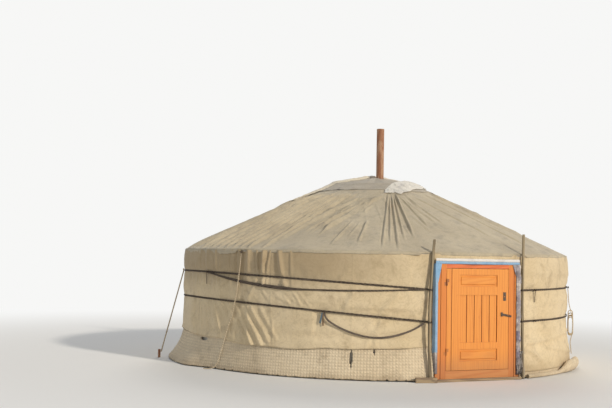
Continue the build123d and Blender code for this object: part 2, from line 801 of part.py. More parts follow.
# Loose ropes: the hanging strap, the tails of knots, the hank with its rope, and the rope by the door
save("hanging_strap", loose_rope(strap_route, strap_radius))
save("strap_tails", Compound([loose_rope(route, tail_radius) for route in tail_routes]))
save("hank_rope", Compound([loose_rope(route, rope_radius) for route in (hank_lead, hank_tail)]))
save("front_rope", loose_rope(front_rope_route, rope_radius))
hank_base = flat_face(belt_face + seat_gap, hank_bearing, hank_middle)
hank_outline = chamfer(Rectangle(hank_width, hank_length).vertices(), hank_corner)
save("rope_hank", extrude(hank_base * hank_outline, hank_thickness))

# Poles leaning on the eave beside the door
left_foot, left_top = -frame_half - left_pole_foot_out, -frame_half - left_pole_top_out
right_foot, right_top = frame_half + right_pole_foot_out, frame_half + right_pole_top_out
save("door_poles", Compound([
    door_pole(left_foot, left_top, left_pole_length),
    door_pole(right_foot, right_top, right_pole_length),
]))

# Guy ropes from the upper belt to stakes, on both sides
stake_out = wall_radius + stake_reach
guys = []
stakes = []
peg = extrude(RegularPolygon(stake_radius, 8, major_radius=False, rotation=22.5), stake_length)
for bearing in (guy_bearing, 180 - guy_bearing):
    guy_x = polar(belt_face, bearing)[0]
    tie_height = belt_height(upper_belt_heights, guy_x) + belt_width / 2
    top = polar(belt_face + guy_radius + seat_gap, bearing, tie_height)
    low = polar(stake_out - stake_radius - guy_radius, bearing, stake_length * stake_tie_share)
    guys.append(straight_rope(top, low, guy_radius, polar(1, bearing)))
    stakes.append(Rot(0, 0, bearing) * Pos(stake_out, 0, 0) * peg)
save("guy_ropes", Compound(guys))
save("stakes", Compound(stakes))

# Loose timber on the ground in front of the left pole
timber_radius = skirt_outside + 2 * door_pole_radius + 3 * seat_gap + timber_size / 2
timber = Box(timber_size, timber_length, timber_size, align=bottom)
save("base_timber", Rot(0, 0, timber_bearing) * Pos(timber_radius, 0, 0) * timber)
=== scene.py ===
# %% [markdown]
# # A felt tent, dressed for the camera
# The CAD model gives the shape of every hard piece and a plain solid for every soft one. This lesson
# loads it as a fixed frame, gives the wood and metal their finish, and replaces the plain solids of
# canvas, felt and rope by cloth that hangs in folds and rope that hangs under its own weight.

# %% Load the frame
import random
from math import atan2, cos, degrees, exp, hypot, pi, radians, sin, sqrt, tan

import bpy
from mathutils import Matrix, Vector, noise


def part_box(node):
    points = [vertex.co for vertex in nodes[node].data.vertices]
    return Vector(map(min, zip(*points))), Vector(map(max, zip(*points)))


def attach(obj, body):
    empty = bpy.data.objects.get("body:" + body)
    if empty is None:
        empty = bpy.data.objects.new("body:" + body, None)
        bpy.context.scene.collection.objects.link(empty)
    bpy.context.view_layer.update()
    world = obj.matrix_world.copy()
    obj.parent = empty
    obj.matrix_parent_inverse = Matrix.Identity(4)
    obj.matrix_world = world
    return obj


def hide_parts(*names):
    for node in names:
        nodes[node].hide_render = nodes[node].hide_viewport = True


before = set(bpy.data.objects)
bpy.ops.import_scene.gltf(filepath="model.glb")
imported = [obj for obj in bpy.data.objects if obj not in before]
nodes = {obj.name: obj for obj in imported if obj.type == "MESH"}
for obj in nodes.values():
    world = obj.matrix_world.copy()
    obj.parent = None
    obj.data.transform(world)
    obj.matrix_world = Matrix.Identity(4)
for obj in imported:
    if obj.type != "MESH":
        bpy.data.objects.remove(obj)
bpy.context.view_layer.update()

# %% [markdown]
# ## Places
# Everything on a round tent is easiest to place by a bearing, a distance from the middle and a
# height. The door faces -Y, so its bearing is -90 degrees. The few sizes that all pieces share are
# named here, in metres.

# %% Shared sizes
WALL = 2.9
EAVE = 1.62
PITCH = radians(24.8)
DOOR = -90.0
frame_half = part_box("door_jamb_right")[1][0]
frame_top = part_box("door_jamb_right")[1][2]
frame_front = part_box("door_jamb_right")[0][1]
skirt_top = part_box("skirt")[1][2]
crown_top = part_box("crown_cover")[1][2]
door_gap = degrees(atan2(frame_half + 0.003, sqrt(WALL**2 - frame_half**2)))


def polar(distance, bearing, height=0.0):
    """A point at a bearing in degrees, a distance from the middle and a height."""
    return Vector((distance * cos(radians(bearing)), distance * sin(radians(bearing)), height))


def roof_line(distance):
    """Height of the roof canvas at a distance from the middle."""
    return EAVE + (WALL - distance) * tan(PITCH)


print("the doorway is", round(2 * door_gap, 1), "degrees wide and", round(frame_top, 2), "m high")

# %% [markdown]
# ## Camera
# The camera stands about 15 metres off, at eye height, with a slightly long lens. It was placed by
# fitting the tent's own lines, so it needs no shift. It is rolled by one degree, as hand-held
# cameras are.

# %% Camera
CAMERA_BEARING = DOOR - 27.95
heading = CAMERA_BEARING + 180 + 3.96
ahead = Vector((cos(radians(heading)), sin(radians(heading)), tan(radians(3.11)))).normalized()
upright = ahead.to_track_quat("-Z", "Y").to_matrix()
roll = Matrix.Rotation(radians(-1.10), 3, ahead)
camera_data = bpy.data.cameras.new("camera")
camera_data.sensor_width = 36.0
camera_data.lens = 58.1
camera = bpy.data.objects.new("camera", camera_data)
camera.matrix_world = Matrix.Translation(polar(15.41, CAMERA_BEARING, 1.526)) @ (roll @ upright).to_4x4()
bpy.context.collection.objects.link(camera)
bpy.context.scene.camera = camera
bpy.context.scene.view_settings.view_transform = "Standard"
print("lens", round(camera_data.lens, 1), "mm")

# %% [markdown]
# ## Floor and light
# The floor is a wide pale disc. A soft key lamp shines from the right of the camera, so that it
# grazes the folds on the left, and two weak ones and a plain sky fill the shadows. They are sun
# lamps, because a tent is large and a near lamp would light it unevenly. The lens sees the sky as
# nearly white, and far away the floor fades into it: both come from Light Path, so no extra light
# falls on the tent.


# %% Small helpers for node trees
def add(tree, kind, **settings):
    """A node with its settings."""
    made = tree.nodes.new("ShaderNode" + kind)
    for key, value in settings.items():
        setattr(made, key, value)
    return made


def put(tree, value, socket):
    """Links an output to a socket, or sets the socket to a plain value."""
    if isinstance(value, bpy.types.NodeSocket):
        tree.links.new(value, socket)
    else:
        socket.default_value = value


def feed(tree, made, **inputs):
    """Sets or links a node's inputs by name, with underscores for spaces."""
    for key, value in inputs.items():
        put(tree, value, made.inputs[key.replace("_", " ")])
    return made


def calculate(tree, operation, *values):
    """The result of a calculation with outputs and plain numbers."""
    made = add(tree, "Math", operation=operation)
    for value, socket in zip(values, made.inputs):
        put(tree, value, socket)
    return made.outputs[0]


def ramped(tree, value, low, high, first=0.0, last=1.0, kind="SMOOTHSTEP"):
    """A value that goes from first to last while another goes from low to high."""
    made = add(tree, "MapRange", interpolation_type=kind)
    return feed(tree, made, Value=value, From_Min=low, From_Max=high, To_Min=first, To_Max=last).outputs[0]


def either(tree, share, first, second):
    """One of two shaders, or a mix of them, by a share."""
    made = add(tree, "MixShader")
    for value, socket in zip((share, first, second), made.inputs):
        put(tree, value, socket)
    return made.outputs[0]


def start(name, roughness):
    """A new material, its tree and its shader."""
    material = bpy.data.materials.new(name)
    material.use_nodes = True
    tree = material.node_tree
    return material, tree, feed(tree, tree.nodes["Principled BSDF"], Roughness=roughness)


# %% Floor, sky and lamps
HAZE = (0.93, 0.93, 0.92, 1)
LAMP_AWAY = 12
bpy.ops.mesh.primitive_circle_add(vertices=96, radius=90, fill_type="NGON", location=(0, 0, -0.001))
floor = bpy.context.object
floor.name = "floor"
floor_material, ground, ground_shader = start("pale_floor", 0.9)
feed(ground, ground_shader, Base_Color=(0.80, 0.79, 0.77, 1), Specular_IOR_Level=0.1)
from_middle = add(ground, "VectorMath", operation="LENGTH")
ground.links.new(add(ground, "TexCoord").outputs["Object"], from_middle.inputs[0])
far_out = ramped(ground, from_middle.outputs["Value"], 5.0, 14.0)
for_lens = calculate(ground, "MULTIPLY", far_out, add(ground, "LightPath").outputs["Is Camera Ray"])
haze = feed(ground, add(ground, "Emission"), Color=HAZE)
fade = either(ground, for_lens, ground_shader.outputs[0], haze.outputs[0])
ground.links.new(fade, ground.nodes["Material Output"].inputs[0])
floor.data.materials.append(floor_material)

world = bpy.data.worlds.new("sky")
world.use_nodes = True
bpy.context.scene.world = world
sky = world.node_tree
seen = feed(sky, add(sky, "Background"), Color=HAZE, Strength=1.0)
lighting = feed(sky, add(sky, "Background"), Color=(0.88, 0.93, 1.0, 1), Strength=0.34)
rays = add(sky, "LightPath").outputs
shown = calculate(sky, "MAXIMUM", rays["Is Camera Ray"], rays["Is Glossy Ray"])
sky.links.new(either(sky, shown, lighting.outputs[0], seen.outputs[0]), sky.nodes["World Output"].inputs[0])


def lamp(name, bearing, elevation, strength, softness, colour):
    """A sun lamp that shines from a bearing and an elevation in degrees."""
    data = bpy.data.lights.new(name, "SUN")
    data.energy = strength
    data.angle = radians(softness)
    data.color = colour
    obj = bpy.data.objects.new(name, data)
    obj.location = polar(LAMP_AWAY * cos(radians(elevation)), bearing, LAMP_AWAY * sin(radians(elevation)))
    obj.rotation_euler = (-obj.location).to_track_quat("-Z", "Y").to_euler()
    bpy.context.collection.objects.link(obj)


lamp("key_lamp", DOOR + 20, 24, 2.50, 4, (1.0, 0.93, 0.82))
lamp("fill_lamp", DOOR - 90, 25, 0.30, 30, (0.85, 0.92, 1.0))
lamp("back_lamp", DOOR + 150, 35, 0.95, 25, (1.0, 0.96, 0.90))
print("three lamps")

# %% [markdown]
# ## Finishes
# Wear, weave and grain are needed by many materials, so each is a node group that is built once.
# Every group takes a place and a few values and gives back a mask or a height. The materials mix
# their own colours with the masks and keep their own shader.


# %% A node group
def effect(name, outputs, **inputs):
    """An empty node group, what it is given, and its end. An input without a value is a place."""
    group = bpy.data.node_groups.new(name, "ShaderNodeTree")
    for label, value in inputs.items():
        if value is None:
            group.interface.new_socket(label, in_out="INPUT", socket_type="NodeSocketVector")
        else:
            socket = group.interface.new_socket(label, in_out="INPUT", socket_type="NodeSocketFloat")
            socket.default_value = value
    for label in outputs:
        group.interface.new_socket(label, in_out="OUTPUT", socket_type="NodeSocketFloat")
    return group, group.nodes.new("NodeGroupInput").outputs, group.nodes.new("NodeGroupOutput")


def clouds(tree, place, scale, **inputs):
    """Soft noise at a place."""
    return feed(tree, add(tree, "TexNoise"), Vector=place, Scale=scale, **inputs).outputs[0]


def stripes(tree, axis, place, scale, **inputs):
    """Soft stripes that follow each other along an axis."""
    made = add(tree, "TexWave", bands_direction=axis)
    return feed(tree, made, Vector=place, Scale=scale, **inputs).outputs["Fac"]


def part_of(tree, place, axis):
    """One coordinate of a place."""
    return feed(tree, add(tree, "SeparateXYZ"), Vector=place).outputs[axis]


# %% Patches: soft stains and faded places
patches, given, result = effect("patches", ["Mask"], Place=None, Scale=3.0, Cover=0.5, Edge=0.12)
spots = clouds(patches, given["Place"], given["Scale"], Detail=7.0, Roughness=0.62, Distortion=0.4)
low = calculate(patches, "SUBTRACT", given["Cover"], given["Edge"])
high = calculate(patches, "ADD", given["Cover"], given["Edge"])
feed(patches, result, Mask=ramped(patches, spots, low, high))

# %% Height band: a stain that fades in between two heights, with a ragged edge
band, given, result = effect("height_band", ["Mask"], Place=None, From=0.0, To=1.0, Ragged=0.2)
rough = calculate(band, "SUBTRACT", clouds(band, given["Place"], 2.4, Detail=6.0), 0.5)
moved = calculate(band, "MULTIPLY_ADD", rough, given["Ragged"], part_of(band, given["Place"], "Z"))
feed(band, result, Mask=ramped(band, moved, given["From"], given["To"]))

# %% Weave: crossed threads, from the cloth's own cut in metres
weave, given, result = effect("weave", ["Height"], Cut=None, Thread=60.0)
threads = [stripes(weave, axis, given["Cut"], given["Thread"], Distortion=0.6, Detail=2.0) for axis in "XY"]
feed(weave, result, Height=calculate(weave, "MULTIPLY", *threads))

# %% Crumple: the small sharp creases of old canvas, and a line mask along them for painted crease shade
crumple, given, result = effect("crumple", ["Height", "Line"], Place=None, Scale=9.0)
cells = clouds(crumple, given["Place"], given["Scale"], Detail=3.0, Roughness=0.55, Distortion=1.6)
crease = calculate(crumple, "ABSOLUTE", calculate(crumple, "SUBTRACT", cells, 0.5))
feed(crumple, result, Height=crease, Line=ramped(crumple, crease, 0.0, 0.05, 1.0, 0.0, "LINEAR"))

# %% Grain: long fibres along one axis of the wood
grain, given, result = effect("grain", ["Mask", "Height"], Along=None, Scale=14.0)
fibres = clouds(grain, given["Along"], given["Scale"], Detail=8.0, Roughness=0.6, Distortion=0.7)
rings = stripes(grain, "X", given["Along"], 2.3, Distortion=16.0, Detail=3.0)
dark_lines = ramped(grain, calculate(grain, "MULTIPLY", fibres, rings), 0.12, 0.5, kind="LINEAR")
feed(grain, result, Mask=dark_lines, Height=fibres)

# %% Lay: slanting strands of a twisted rope
lay, given, result = effect("lay", ["Height"], Place=None, Scale=26.0)
strands = stripes(lay, "DIAGONAL", given["Place"], given["Scale"], Distortion=1.2, Detail=2.0)
feed(lay, result, Height=strands)

# %% Quilting: lines of stitches in squares, counted on the cloth's own cut
QUILT = 0.040
quilting, given, result = effect("quilting", ["Stitch", "Height"], Cut=None, Square=QUILT)
pace = calculate(quilting, "DIVIDE", 2 * pi / 20, given["Square"])
lower = calculate(quilting, "MINIMUM", *(stripes(quilting, axis, given["Cut"], pace) for axis in "XY"))
feed(quilting, result, Stitch=ramped(quilting, lower, 0.0, 0.22, 1.0, 0.0), Height=lower)

# %% Recess: a mask for painted groove shade in joinery, between two depths from front to back
recess_shade, given, result = effect("recess_shade", ["Mask"], Place=None, Start=0.0, Full=0.1, Until=0.2, End=0.3)
back = part_of(recess_shade, given["Place"], "Y")
into = ramped(recess_shade, back, given["Start"], given["Full"])
out_of = ramped(recess_shade, back, given["Until"], given["End"], 1.0, 0.0)
feed(recess_shade, result, Mask=calculate(recess_shade, "MULTIPLY", into, out_of))
print(len(bpy.data.node_groups), "node groups")


# %% [markdown]
# ### Cloth
# One function makes every cloth. Two noise masks move the colour between a clean and a faded tone, a
# third lays stains on it, a height band soils it near the ground, crease lines and quilting stitches get
# painted shade, and weave and creases go to bump.


# %% Cloth material
def use(tree, group, **inputs):
    """Places a node group, feeds it and gives back its outputs."""
    return feed(tree, add(tree, "Group", node_tree=group), **inputs).outputs


def blend(tree, mask, first, second):
    """A colour mixed from two by a mask."""
    made = add(tree, "Mix", data_type="RGBA")
    for value, number in ((mask, 0), (first, 6), (second, 7)):
        put(tree, value, made.inputs[number])
    return made.outputs[2]


def stained_or_shaded(tree, colour, mask, share, stain_and_shade):
    """A colour mixed towards a darker one where the mask is, as strong as its share: for stains, dirt, grain, wear
    and painted shadow.
    """
    return blend(tree, calculate(tree, "MULTIPLY", mask, share), colour, stain_and_shade)


def bump(tree, shader, *layers):
    """Stacks bump layers of (height, depth in metres) under the shader's normal."""
    normal = None
    for height, depth in layers:
        made = feed(tree, add(tree, "Bump"), Height=height, Distance=depth, Strength=1.0)
        if normal is not None:
            tree.links.new(normal, made.inputs["Normal"])
        normal = made.outputs["Normal"]
    tree.links.new(normal, shader.inputs["Normal"])


def cloth_material(name, clean, faded, stain_and_shade, stain_cover=0.62, soil=(0.1, 0.0), crease=0.006,
                   crease_scale=9.0, thread=60.0, high_stain=None, sheen=0.15, quilted=False, mottle=1.0):
    """A woven cloth. soil and high_stain are the heights between which dirt fades in."""
    clean, faded, stain_and_shade = (*clean, 1), (*faded, 1), (*stain_and_shade, 1)
    material, tree, shader = start(name, 0.92)
    feed(tree, shader, Specular_IOR_Level=0.2, Sheen_Weight=sheen)
    place = add(tree, "TexCoord").outputs
    where, cut = place["Object"], place["UV"]
    tone = use(tree, patches, Place=where, Scale=1.3 * mottle, Cover=0.5, Edge=0.2 / sqrt(mottle))
    colour = blend(tree, tone[0], clean, faded)
    marks = use(tree, patches, Place=where, Scale=4.5 * sqrt(mottle), Cover=stain_cover, Edge=0.12)
    colour = stained_or_shaded(tree, colour, marks[0], 0.55, stain_and_shade)
    if high_stain:
        low, high, strength = high_stain
        top = use(tree, band, Place=where, From=low, To=high, Ragged=0.35)
        leftward = ramped(tree, part_of(tree, where, "X"), -0.7, -2.0, 0.12, strength)
        colour = stained_or_shaded(tree, colour, top[0], leftward, stain_and_shade)
    foot = use(tree, band, Place=where, From=soil[0], To=soil[1], Ragged=0.3)
    colour = stained_or_shaded(tree, colour, foot[0], 0.55, stain_and_shade)
    folds = use(tree, crumple, Place=where, Scale=crease_scale)
    # Painted shade along the crease lines, in the stain colour
    colour = stained_or_shaded(tree, colour, folds["Line"], 0.22, stain_and_shade)
    layers = [(use(tree, weave, Cut=cut, Thread=thread)[0], 0.0006), (folds["Height"], crease)]
    if quilted:
        squares = use(tree, quilting, Cut=cut, Square=QUILT)
        worn = use(tree, patches, Place=where, Scale=0.9, Cover=0.45, Edge=0.25)
        # Stitch lines darkened in worn patches: wear, and painted shade in the stitch hollows
        worn_and_shaded_stitches = calculate(tree, "MULTIPLY", squares["Stitch"], worn[0])
        colour = stained_or_shaded(tree, colour, worn_and_shaded_stitches, 0.36, stain_and_shade)
        layers.append((squares["Height"], 0.003))
    feed(tree, shader, Base_Color=colour)
    bump(tree, shader, *layers)
    return material


canvas = cloth_material("wall_cotton", (0.68, 0.54, 0.335), (0.76, 0.62, 0.41), (0.34, 0.25, 0.145),
                        soil=(0.32, 0.0), high_stain=(1.00, 1.40, 0.72))
# The roof canvas is the wall's cloth, coloured darker as painted shade
roof_canvas = cloth_material("roof_cotton_painted_shade", (0.47, 0.395, 0.275), (0.55, 0.47, 0.335), (0.29, 0.25, 0.20),
                             stain_cover=0.6, crease=0.004, crease_scale=6.0)
# The crown cloth is canvas coloured darker and greyer as painted shade
shaded_crown_canvas = cloth_material("crown_cotton_painted_shade", (0.37, 0.325, 0.26), (0.47, 0.41, 0.32), (0.26, 0.245, 0.24),
                              crease=0.008, crease_scale=7.0)
flap_canvas = cloth_material("flap_cotton", (0.66, 0.58, 0.44), (0.76, 0.69, 0.56), (0.38, 0.35, 0.32),
                             stain_cover=0.66, crease=0.008)
white_canvas = cloth_material("bleached_cotton", (0.66, 0.61, 0.52), (0.78, 0.74, 0.66), (0.40, 0.38, 0.38),
                              stain_cover=0.60, crease=0.010)
hem_canvas = cloth_material("pale_hem_cotton", (0.74, 0.70, 0.66), (0.84, 0.81, 0.76), (0.50, 0.46, 0.48),
                            crease_scale=16.0)
quilt_canvas = cloth_material("quilted_cotton", (0.70, 0.57, 0.39), (0.78, 0.65, 0.46), (0.32, 0.24, 0.15),
                              stain_cover=0.64, soil=(0.12, -0.04), crease=0.003, quilted=True)
felt = cloth_material("pressed_felt", (0.60, 0.55, 0.46), (0.68, 0.63, 0.54), (0.36, 0.31, 0.25),
                      soil=(0.2, 0.0), crease=0.004, crease_scale=30.0, thread=15.0, sheen=0.4)
blue_cotton = cloth_material("faded_blue_cotton", (0.22, 0.41, 0.62), (0.40, 0.54, 0.68), (0.14, 0.20, 0.32),
                             soil=(0.4, 0.1), crease_scale=16.0)
grey_cotton = cloth_material("grey_cotton", (0.36, 0.33, 0.36), (0.66, 0.60, 0.55), (0.16, 0.14, 0.14),
                             stain_cover=0.5, soil=(0.5, 0.1), crease=0.008, crease_scale=16.0, mottle=7.0)
lilac_cotton = cloth_material("lilac_cotton", (0.30, 0.27, 0.34), (0.62, 0.56, 0.54), (0.08, 0.07, 0.08),
                              stain_cover=0.5, soil=(0.6, 0.1), crease=0.008, crease_scale=18.0, mottle=8.0)
dark_cotton = cloth_material("dark_cotton", (0.055, 0.050, 0.048), (0.42, 0.38, 0.34), (0.02, 0.02, 0.02),
                             soil=(0.05, 0.0), crease_scale=20.0, mottle=9.0)
print(len(bpy.data.materials), "materials so far")


# %% [markdown]
# ### Wood
# Painted pine shows its grain only faintly, with darker dirt low down. Bare wood shows it strongly.
# The place is squeezed along the length of the board, so that the noise runs out into long fibres.


# %% Wood and paint
ALONG_X, ALONG_Z = 0, 2
ORANGE, DEEP_ORANGE, GROOVE_SHADE = (0.78, 0.290, 0.044, 1), (0.60, 0.165, 0.020, 1), (0.20, 0.028, 0.004, 1)
WOOD_DIRT = (0.12, 0.10, 0.08, 1)
leaf_middle = (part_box("door_leaf")[0][1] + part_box("door_leaf")[1][1]) / 2


def wood_material(name, light, dark, along, roughness, grain_share, depth=0.0012, worn=0.25, shaded_grooves=None):
    """A wood finish. along is the axis of the fibres. The last argument gives the groove depths of varnished
    joinery, which get a painted shadow.
    """
    material, tree, shader = start(name, roughness)
    feed(tree, shader, Coat_Weight=0.1 if shaded_grooves else 0.0, Coat_Roughness=0.35)
    where = add(tree, "TexCoord").outputs["Object"]
    squeeze = [3.0, 3.0, 3.0]
    squeeze[along] = 0.22
    fibre_place = feed(tree, add(tree, "Mapping"), Vector=where, Scale=squeeze).outputs[0]
    fibres = use(tree, grain, Along=fibre_place, Scale=14.0)
    colour = stained_or_shaded(tree, light, fibres["Mask"], grain_share, dark)
    chips = use(tree, patches, Place=where, Scale=11.0, Cover=0.66, Edge=0.05)
    colour = stained_or_shaded(tree, colour, chips[0], worn, dark)
    foot = use(tree, band, Place=where, From=0.45, To=0.1, Ragged=0.25)
    colour = stained_or_shaded(tree, colour, foot[0], 0.3, WOOD_DIRT)
    # Painted shade in the groove hollows of the joinery, between the given depths
    if shaded_grooves:
        depths = dict(zip(("Start", "Full", "Until", "End"), shaded_grooves))
        colour = stained_or_shaded(tree, colour, use(tree, recess_shade, Place=where, **depths)[0], 0.9, GROOVE_SHADE)
    feed(tree, shader, Base_Color=colour)
    bump(tree, shader, (fibres["Height"], depth))
    return material


def both_faces(front, full):
    """Recess depths that are the same from the front and from the back of the door leaf."""
    return (leaf_middle - front, leaf_middle - full, leaf_middle + full, leaf_middle + front)


# Depths in the door leaf and the jamb between which the grooves get painted shade
leaf_orange, slat_orange, panel_orange = (
    wood_material(name, ORANGE, DEEP_ORANGE, along, 0.5, 0.35, shaded_grooves=both_faces(front, full))
    for name, along, front, full in (
        ("leaf_pine", ALONG_Z, 0.0220, 0.0150), ("slat_pine", ALONG_Z, 0.0117, 0.0080),
        ("panel_pine", ALONG_X, 0.0075, 0.0035),
    )
)
jamb_orange = wood_material(
    "jamb_pine", (0.68, 0.215, 0.030, 1), (0.52, 0.12, 0.015, 1), ALONG_Z, 0.5, 0.35,
    shaded_grooves=(frame_front + 0.0003, frame_front + 0.0030, frame_front + 0.0066, frame_front + 0.0080),
)
sill_orange = wood_material("sill_pine", (0.74, 0.28, 0.065, 1), DEEP_ORANGE, ALONG_X, 0.55, 0.5, worn=0.5)
head_red = wood_material("head_red_paint", (0.72, 0.17, 0.045, 1), (0.46, 0.08, 0.02, 1), ALONG_X, 0.5, 0.4)
lattice_red = wood_material("lattice_paint", (0.60, 0.20, 0.07, 1), (0.36, 0.09, 0.03, 1), ALONG_Z, 0.5, 0.45)
grey_wood = wood_material("weathered_timber", (0.46, 0.33, 0.19, 1), (0.20, 0.14, 0.09, 1), ALONG_X, 0.85, 0.8,
                          depth=0.003)
pole_wood = wood_material("peeled_pole", (0.33, 0.26, 0.16, 1), (0.11, 0.08, 0.045, 1), ALONG_Z, 0.8, 0.8,
                          depth=0.003)

# %% [markdown]
# ### Metal and rope
# The stove pipe is rusted all over, the roof plate is dull zinc, and the door's iron is nearly black
# or was painted over with the wood. Rust isn't metallic, so the same patches that bring its colour
# take the metal away. Rope has painted shade between its strands, and is dirty in places.


# %% Metal and rope
def metal_material(name, base, rust, cover, metallic, roughness):
    """Sheet metal with patches of rust or dirt."""
    material, tree, shader = start(name, roughness)
    where = add(tree, "TexCoord").outputs["Object"]
    tall = feed(tree, add(tree, "Mapping"), Vector=where, Scale=(1.0, 1.0, 0.35)).outputs[0]
    marks = use(tree, patches, Place=tall, Scale=13.0, Cover=cover, Edge=0.1)[0]
    clear = ramped(tree, marks, 0.0, 1.0, metallic, 0.0, "LINEAR")
    feed(tree, shader, Base_Color=blend(tree, marks, base, rust), Metallic=clear)
    bump(tree, shader, (marks, 0.0006))
    return material


rust = metal_material("rusted_pipe", (0.30, 0.13, 0.065, 1), (0.42, 0.24, 0.14, 1), 0.52, 0.2, 0.75)
zinc = metal_material("dull_zinc", (0.46, 0.47, 0.47, 1), (0.30, 0.27, 0.24, 1), 0.60, 0.8, 0.5)
steel = metal_material("tarnished_steel", (0.10, 0.075, 0.055, 1), (0.05, 0.032, 0.022, 1), 0.5, 0.35, 0.65)
painted_steel = metal_material("painted_hinge", (0.52, 0.19, 0.05, 1), (0.24, 0.09, 0.04, 1), 0.55, 0.1, 0.6)


def rope_material(name, colour, shade_and_dirt, strand=26.0):
    """Twisted fibre with a painted shadow between its strands, and dirt patches of the same dark colour."""
    material, tree, shader = start(name, 0.95)
    where = add(tree, "TexCoord").outputs["Object"]
    twist = use(tree, lay, Place=where, Scale=strand)[0]
    dirt = use(tree, patches, Place=where, Scale=9.0, Cover=0.5, Edge=0.15)[0]
    # Painted shade between the strands, and dirt patches in the same dark colour
    dirty = stained_or_shaded(tree, blend(tree, twist, shade_and_dirt, colour), dirt, 0.5, shade_and_dirt)
    feed(tree, shader, Specular_IOR_Level=0.15, Base_Color=dirty)
    bump(tree, shader, (twist, 0.002))
    return material


dark_rope = rope_material("horsehair_rope", (0.17, 0.135, 0.105, 1), (0.06, 0.045, 0.035, 1))
pale_rope = rope_material("hemp_rope", (0.72, 0.62, 0.46, 1), (0.42, 0.32, 0.20, 1))
strap_web = rope_material("grey_strap", (0.22, 0.18, 0.14, 1), (0.09, 0.07, 0.06, 1), 40.0)
tail_web = rope_material("blue_grey_strap", (0.17, 0.24, 0.28, 1), (0.09, 0.13, 0.16, 1), 40.0)
brown_web = rope_material("brown_strap", (0.30, 0.20, 0.12, 1), (0.16, 0.10, 0.06, 1), 40.0)
print(len(bpy.data.materials), "materials")

# %% [markdown]
# ### The hard pieces keep their CAD shape
# Their finish goes to the object's own material slots, so the mesh itself stays as it was made.

# %% Finish for each CAD piece
FINISH = {
    "lattice_wall": lattice_red, "roof_poles": lattice_red, "crown_wheel": lattice_red, "crown_posts": lattice_red,
    "door_lintel": lattice_red, "door_jamb": jamb_orange, "door_leaf": leaf_orange, "door_slats": slat_orange,
    "door_panels": panel_orange, "door_head": head_red, "door_sill": sill_orange, "ground_sill": grey_wood,
    "base_timber": grey_wood, "chimney": rust, "chimney_plate": zinc, "stakes": rust,
    "hinge_pins": painted_steel, "hinge_knuckles": painted_steel, "lock_plate": steel, "hasp": steel,
}
finished = 0
for name, obj in nodes.items():
    best = max((key for key in FINISH if name.startswith(key)), key=len, default=None)
    if best:
        for slot in obj.material_slots:
            slot.link = "OBJECT"
            slot.material = FINISH[best]
        finished += 1
print(finished, "hard pieces finished")

# %% [markdown]
# ## Ropes
# A limp rope is a curve with a few control points. A NURBS curve runs smoothly near its points, so
# it falls like rope and never like bent wire. The order is set after the points are in, because a
# new spline can't take an order that is higher than its number of points.


# %% A rope from a few points
def to_point(row):
    """A route is written as bearing, distance and height in millimetres, as it is measured."""
    bearing, distance, height = row
    return polar(distance / 1000, bearing, height / 1000)


def rope_curve(name, points, radius):
    """A smooth round rope along its control points."""
    data = bpy.data.curves.new(name, "CURVE")
    data.dimensions = "3D"
    spline = data.splines.new("NURBS")
    spline.points.add(len(points) - 1)
    for slot, point in zip(spline.points, points):
        slot.co = (*point, 1.0)
    spline.order_u = 3
    spline.use_endpoint_u = True
    spline.resolution_u = 8
    data.bevel_depth = radius
    data.bevel_resolution = 2
    data.use_fill_caps = True
    obj = bpy.data.objects.new(name, data)
    bpy.context.collection.objects.link(obj)
    return obj


def line_of(obj):
    """The points of a rope's own centreline, read back from the smooth curve."""
    data = obj.data.copy()
    data.bevel_depth = 0.0
    bare = bpy.data.objects.new("centreline", data)
    mesh = bpy.data.meshes.new_from_object(bare)
    points = [v.co.copy() for v in mesh.vertices]
    bpy.data.objects.remove(bare)
    bpy.data.curves.remove(data)
    bpy.data.meshes.remove(mesh)
    return points


def length_of(points):
    """Length of a line of points."""
    return sum((b - a).length for a, b in zip(points, points[1:]))


def direction(line, index):
    """Which way a line runs at one of its points."""
    return (line[min(index + 1, len(line) - 1)] - line[max(index - 1, 0)]).normalized()


def outward(point):
    """Level, from the middle of the tent towards a point."""
    return Vector((point.x, point.y, 0)).normalized()


def tube_faces(rings, sides, end):
    """Faces of a tube of rings of corners. end turns its two end faces, and 0 makes a closed ring."""
    faces = []
    for ring in range(rings - 1 if end else rings):
        here, there = ring * sides, (ring + 1) % rings * sides
        for side in range(sides):
            beside = (side + 1) % sides
            faces.append((here + side, here + beside, there + beside, there + side))
    if end:
        faces += [tuple(range(sides))[::end], tuple(range((rings - 1) * sides, rings * sides))[::-end]]
    return faces


def shaped(name, corners, faces, finish):
    """A mesh object from its corners and faces."""
    mesh = bpy.data.meshes.new(name)
    mesh.from_pydata(corners, [], faces)
    mesh.materials.append(finish)
    obj = bpy.data.objects.new(name, mesh)
    bpy.context.collection.objects.link(obj)
    return obj


def settle(obj, slot_name, *replaced):
    """A piece rides on the tent and stands for some CAD nodes. Its slot name is not used."""
    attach(obj, "root")
    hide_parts(*replaced)


def declare(obj, exit_point, long, wide, replaced, slot_name):
    """Attaches a limp rope or strap to the tent, hides the CAD nodes it stands for and prints its name and length.
    """
    settle(obj, slot_name, *replaced)
    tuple(exit_point)
    print(obj.name, round(long, 3), "m")


def cord(name, points, radius, replaced, finish, slot_name):
    """A limp round rope with its own length."""
    obj = rope_curve(name, points, radius)
    obj.data.materials.append(finish)
    declare(obj, points[0], length_of(line_of(obj)), 2 * radius, replaced, slot_name)


STRAP_SECTION = ((-0.5, -0.3), (-0.38, -0.5), (0.38, -0.5), (0.5, -0.3),
                 (0.5, 0.3), (0.38, 0.5), (-0.38, 0.5), (-0.5, 0.3))


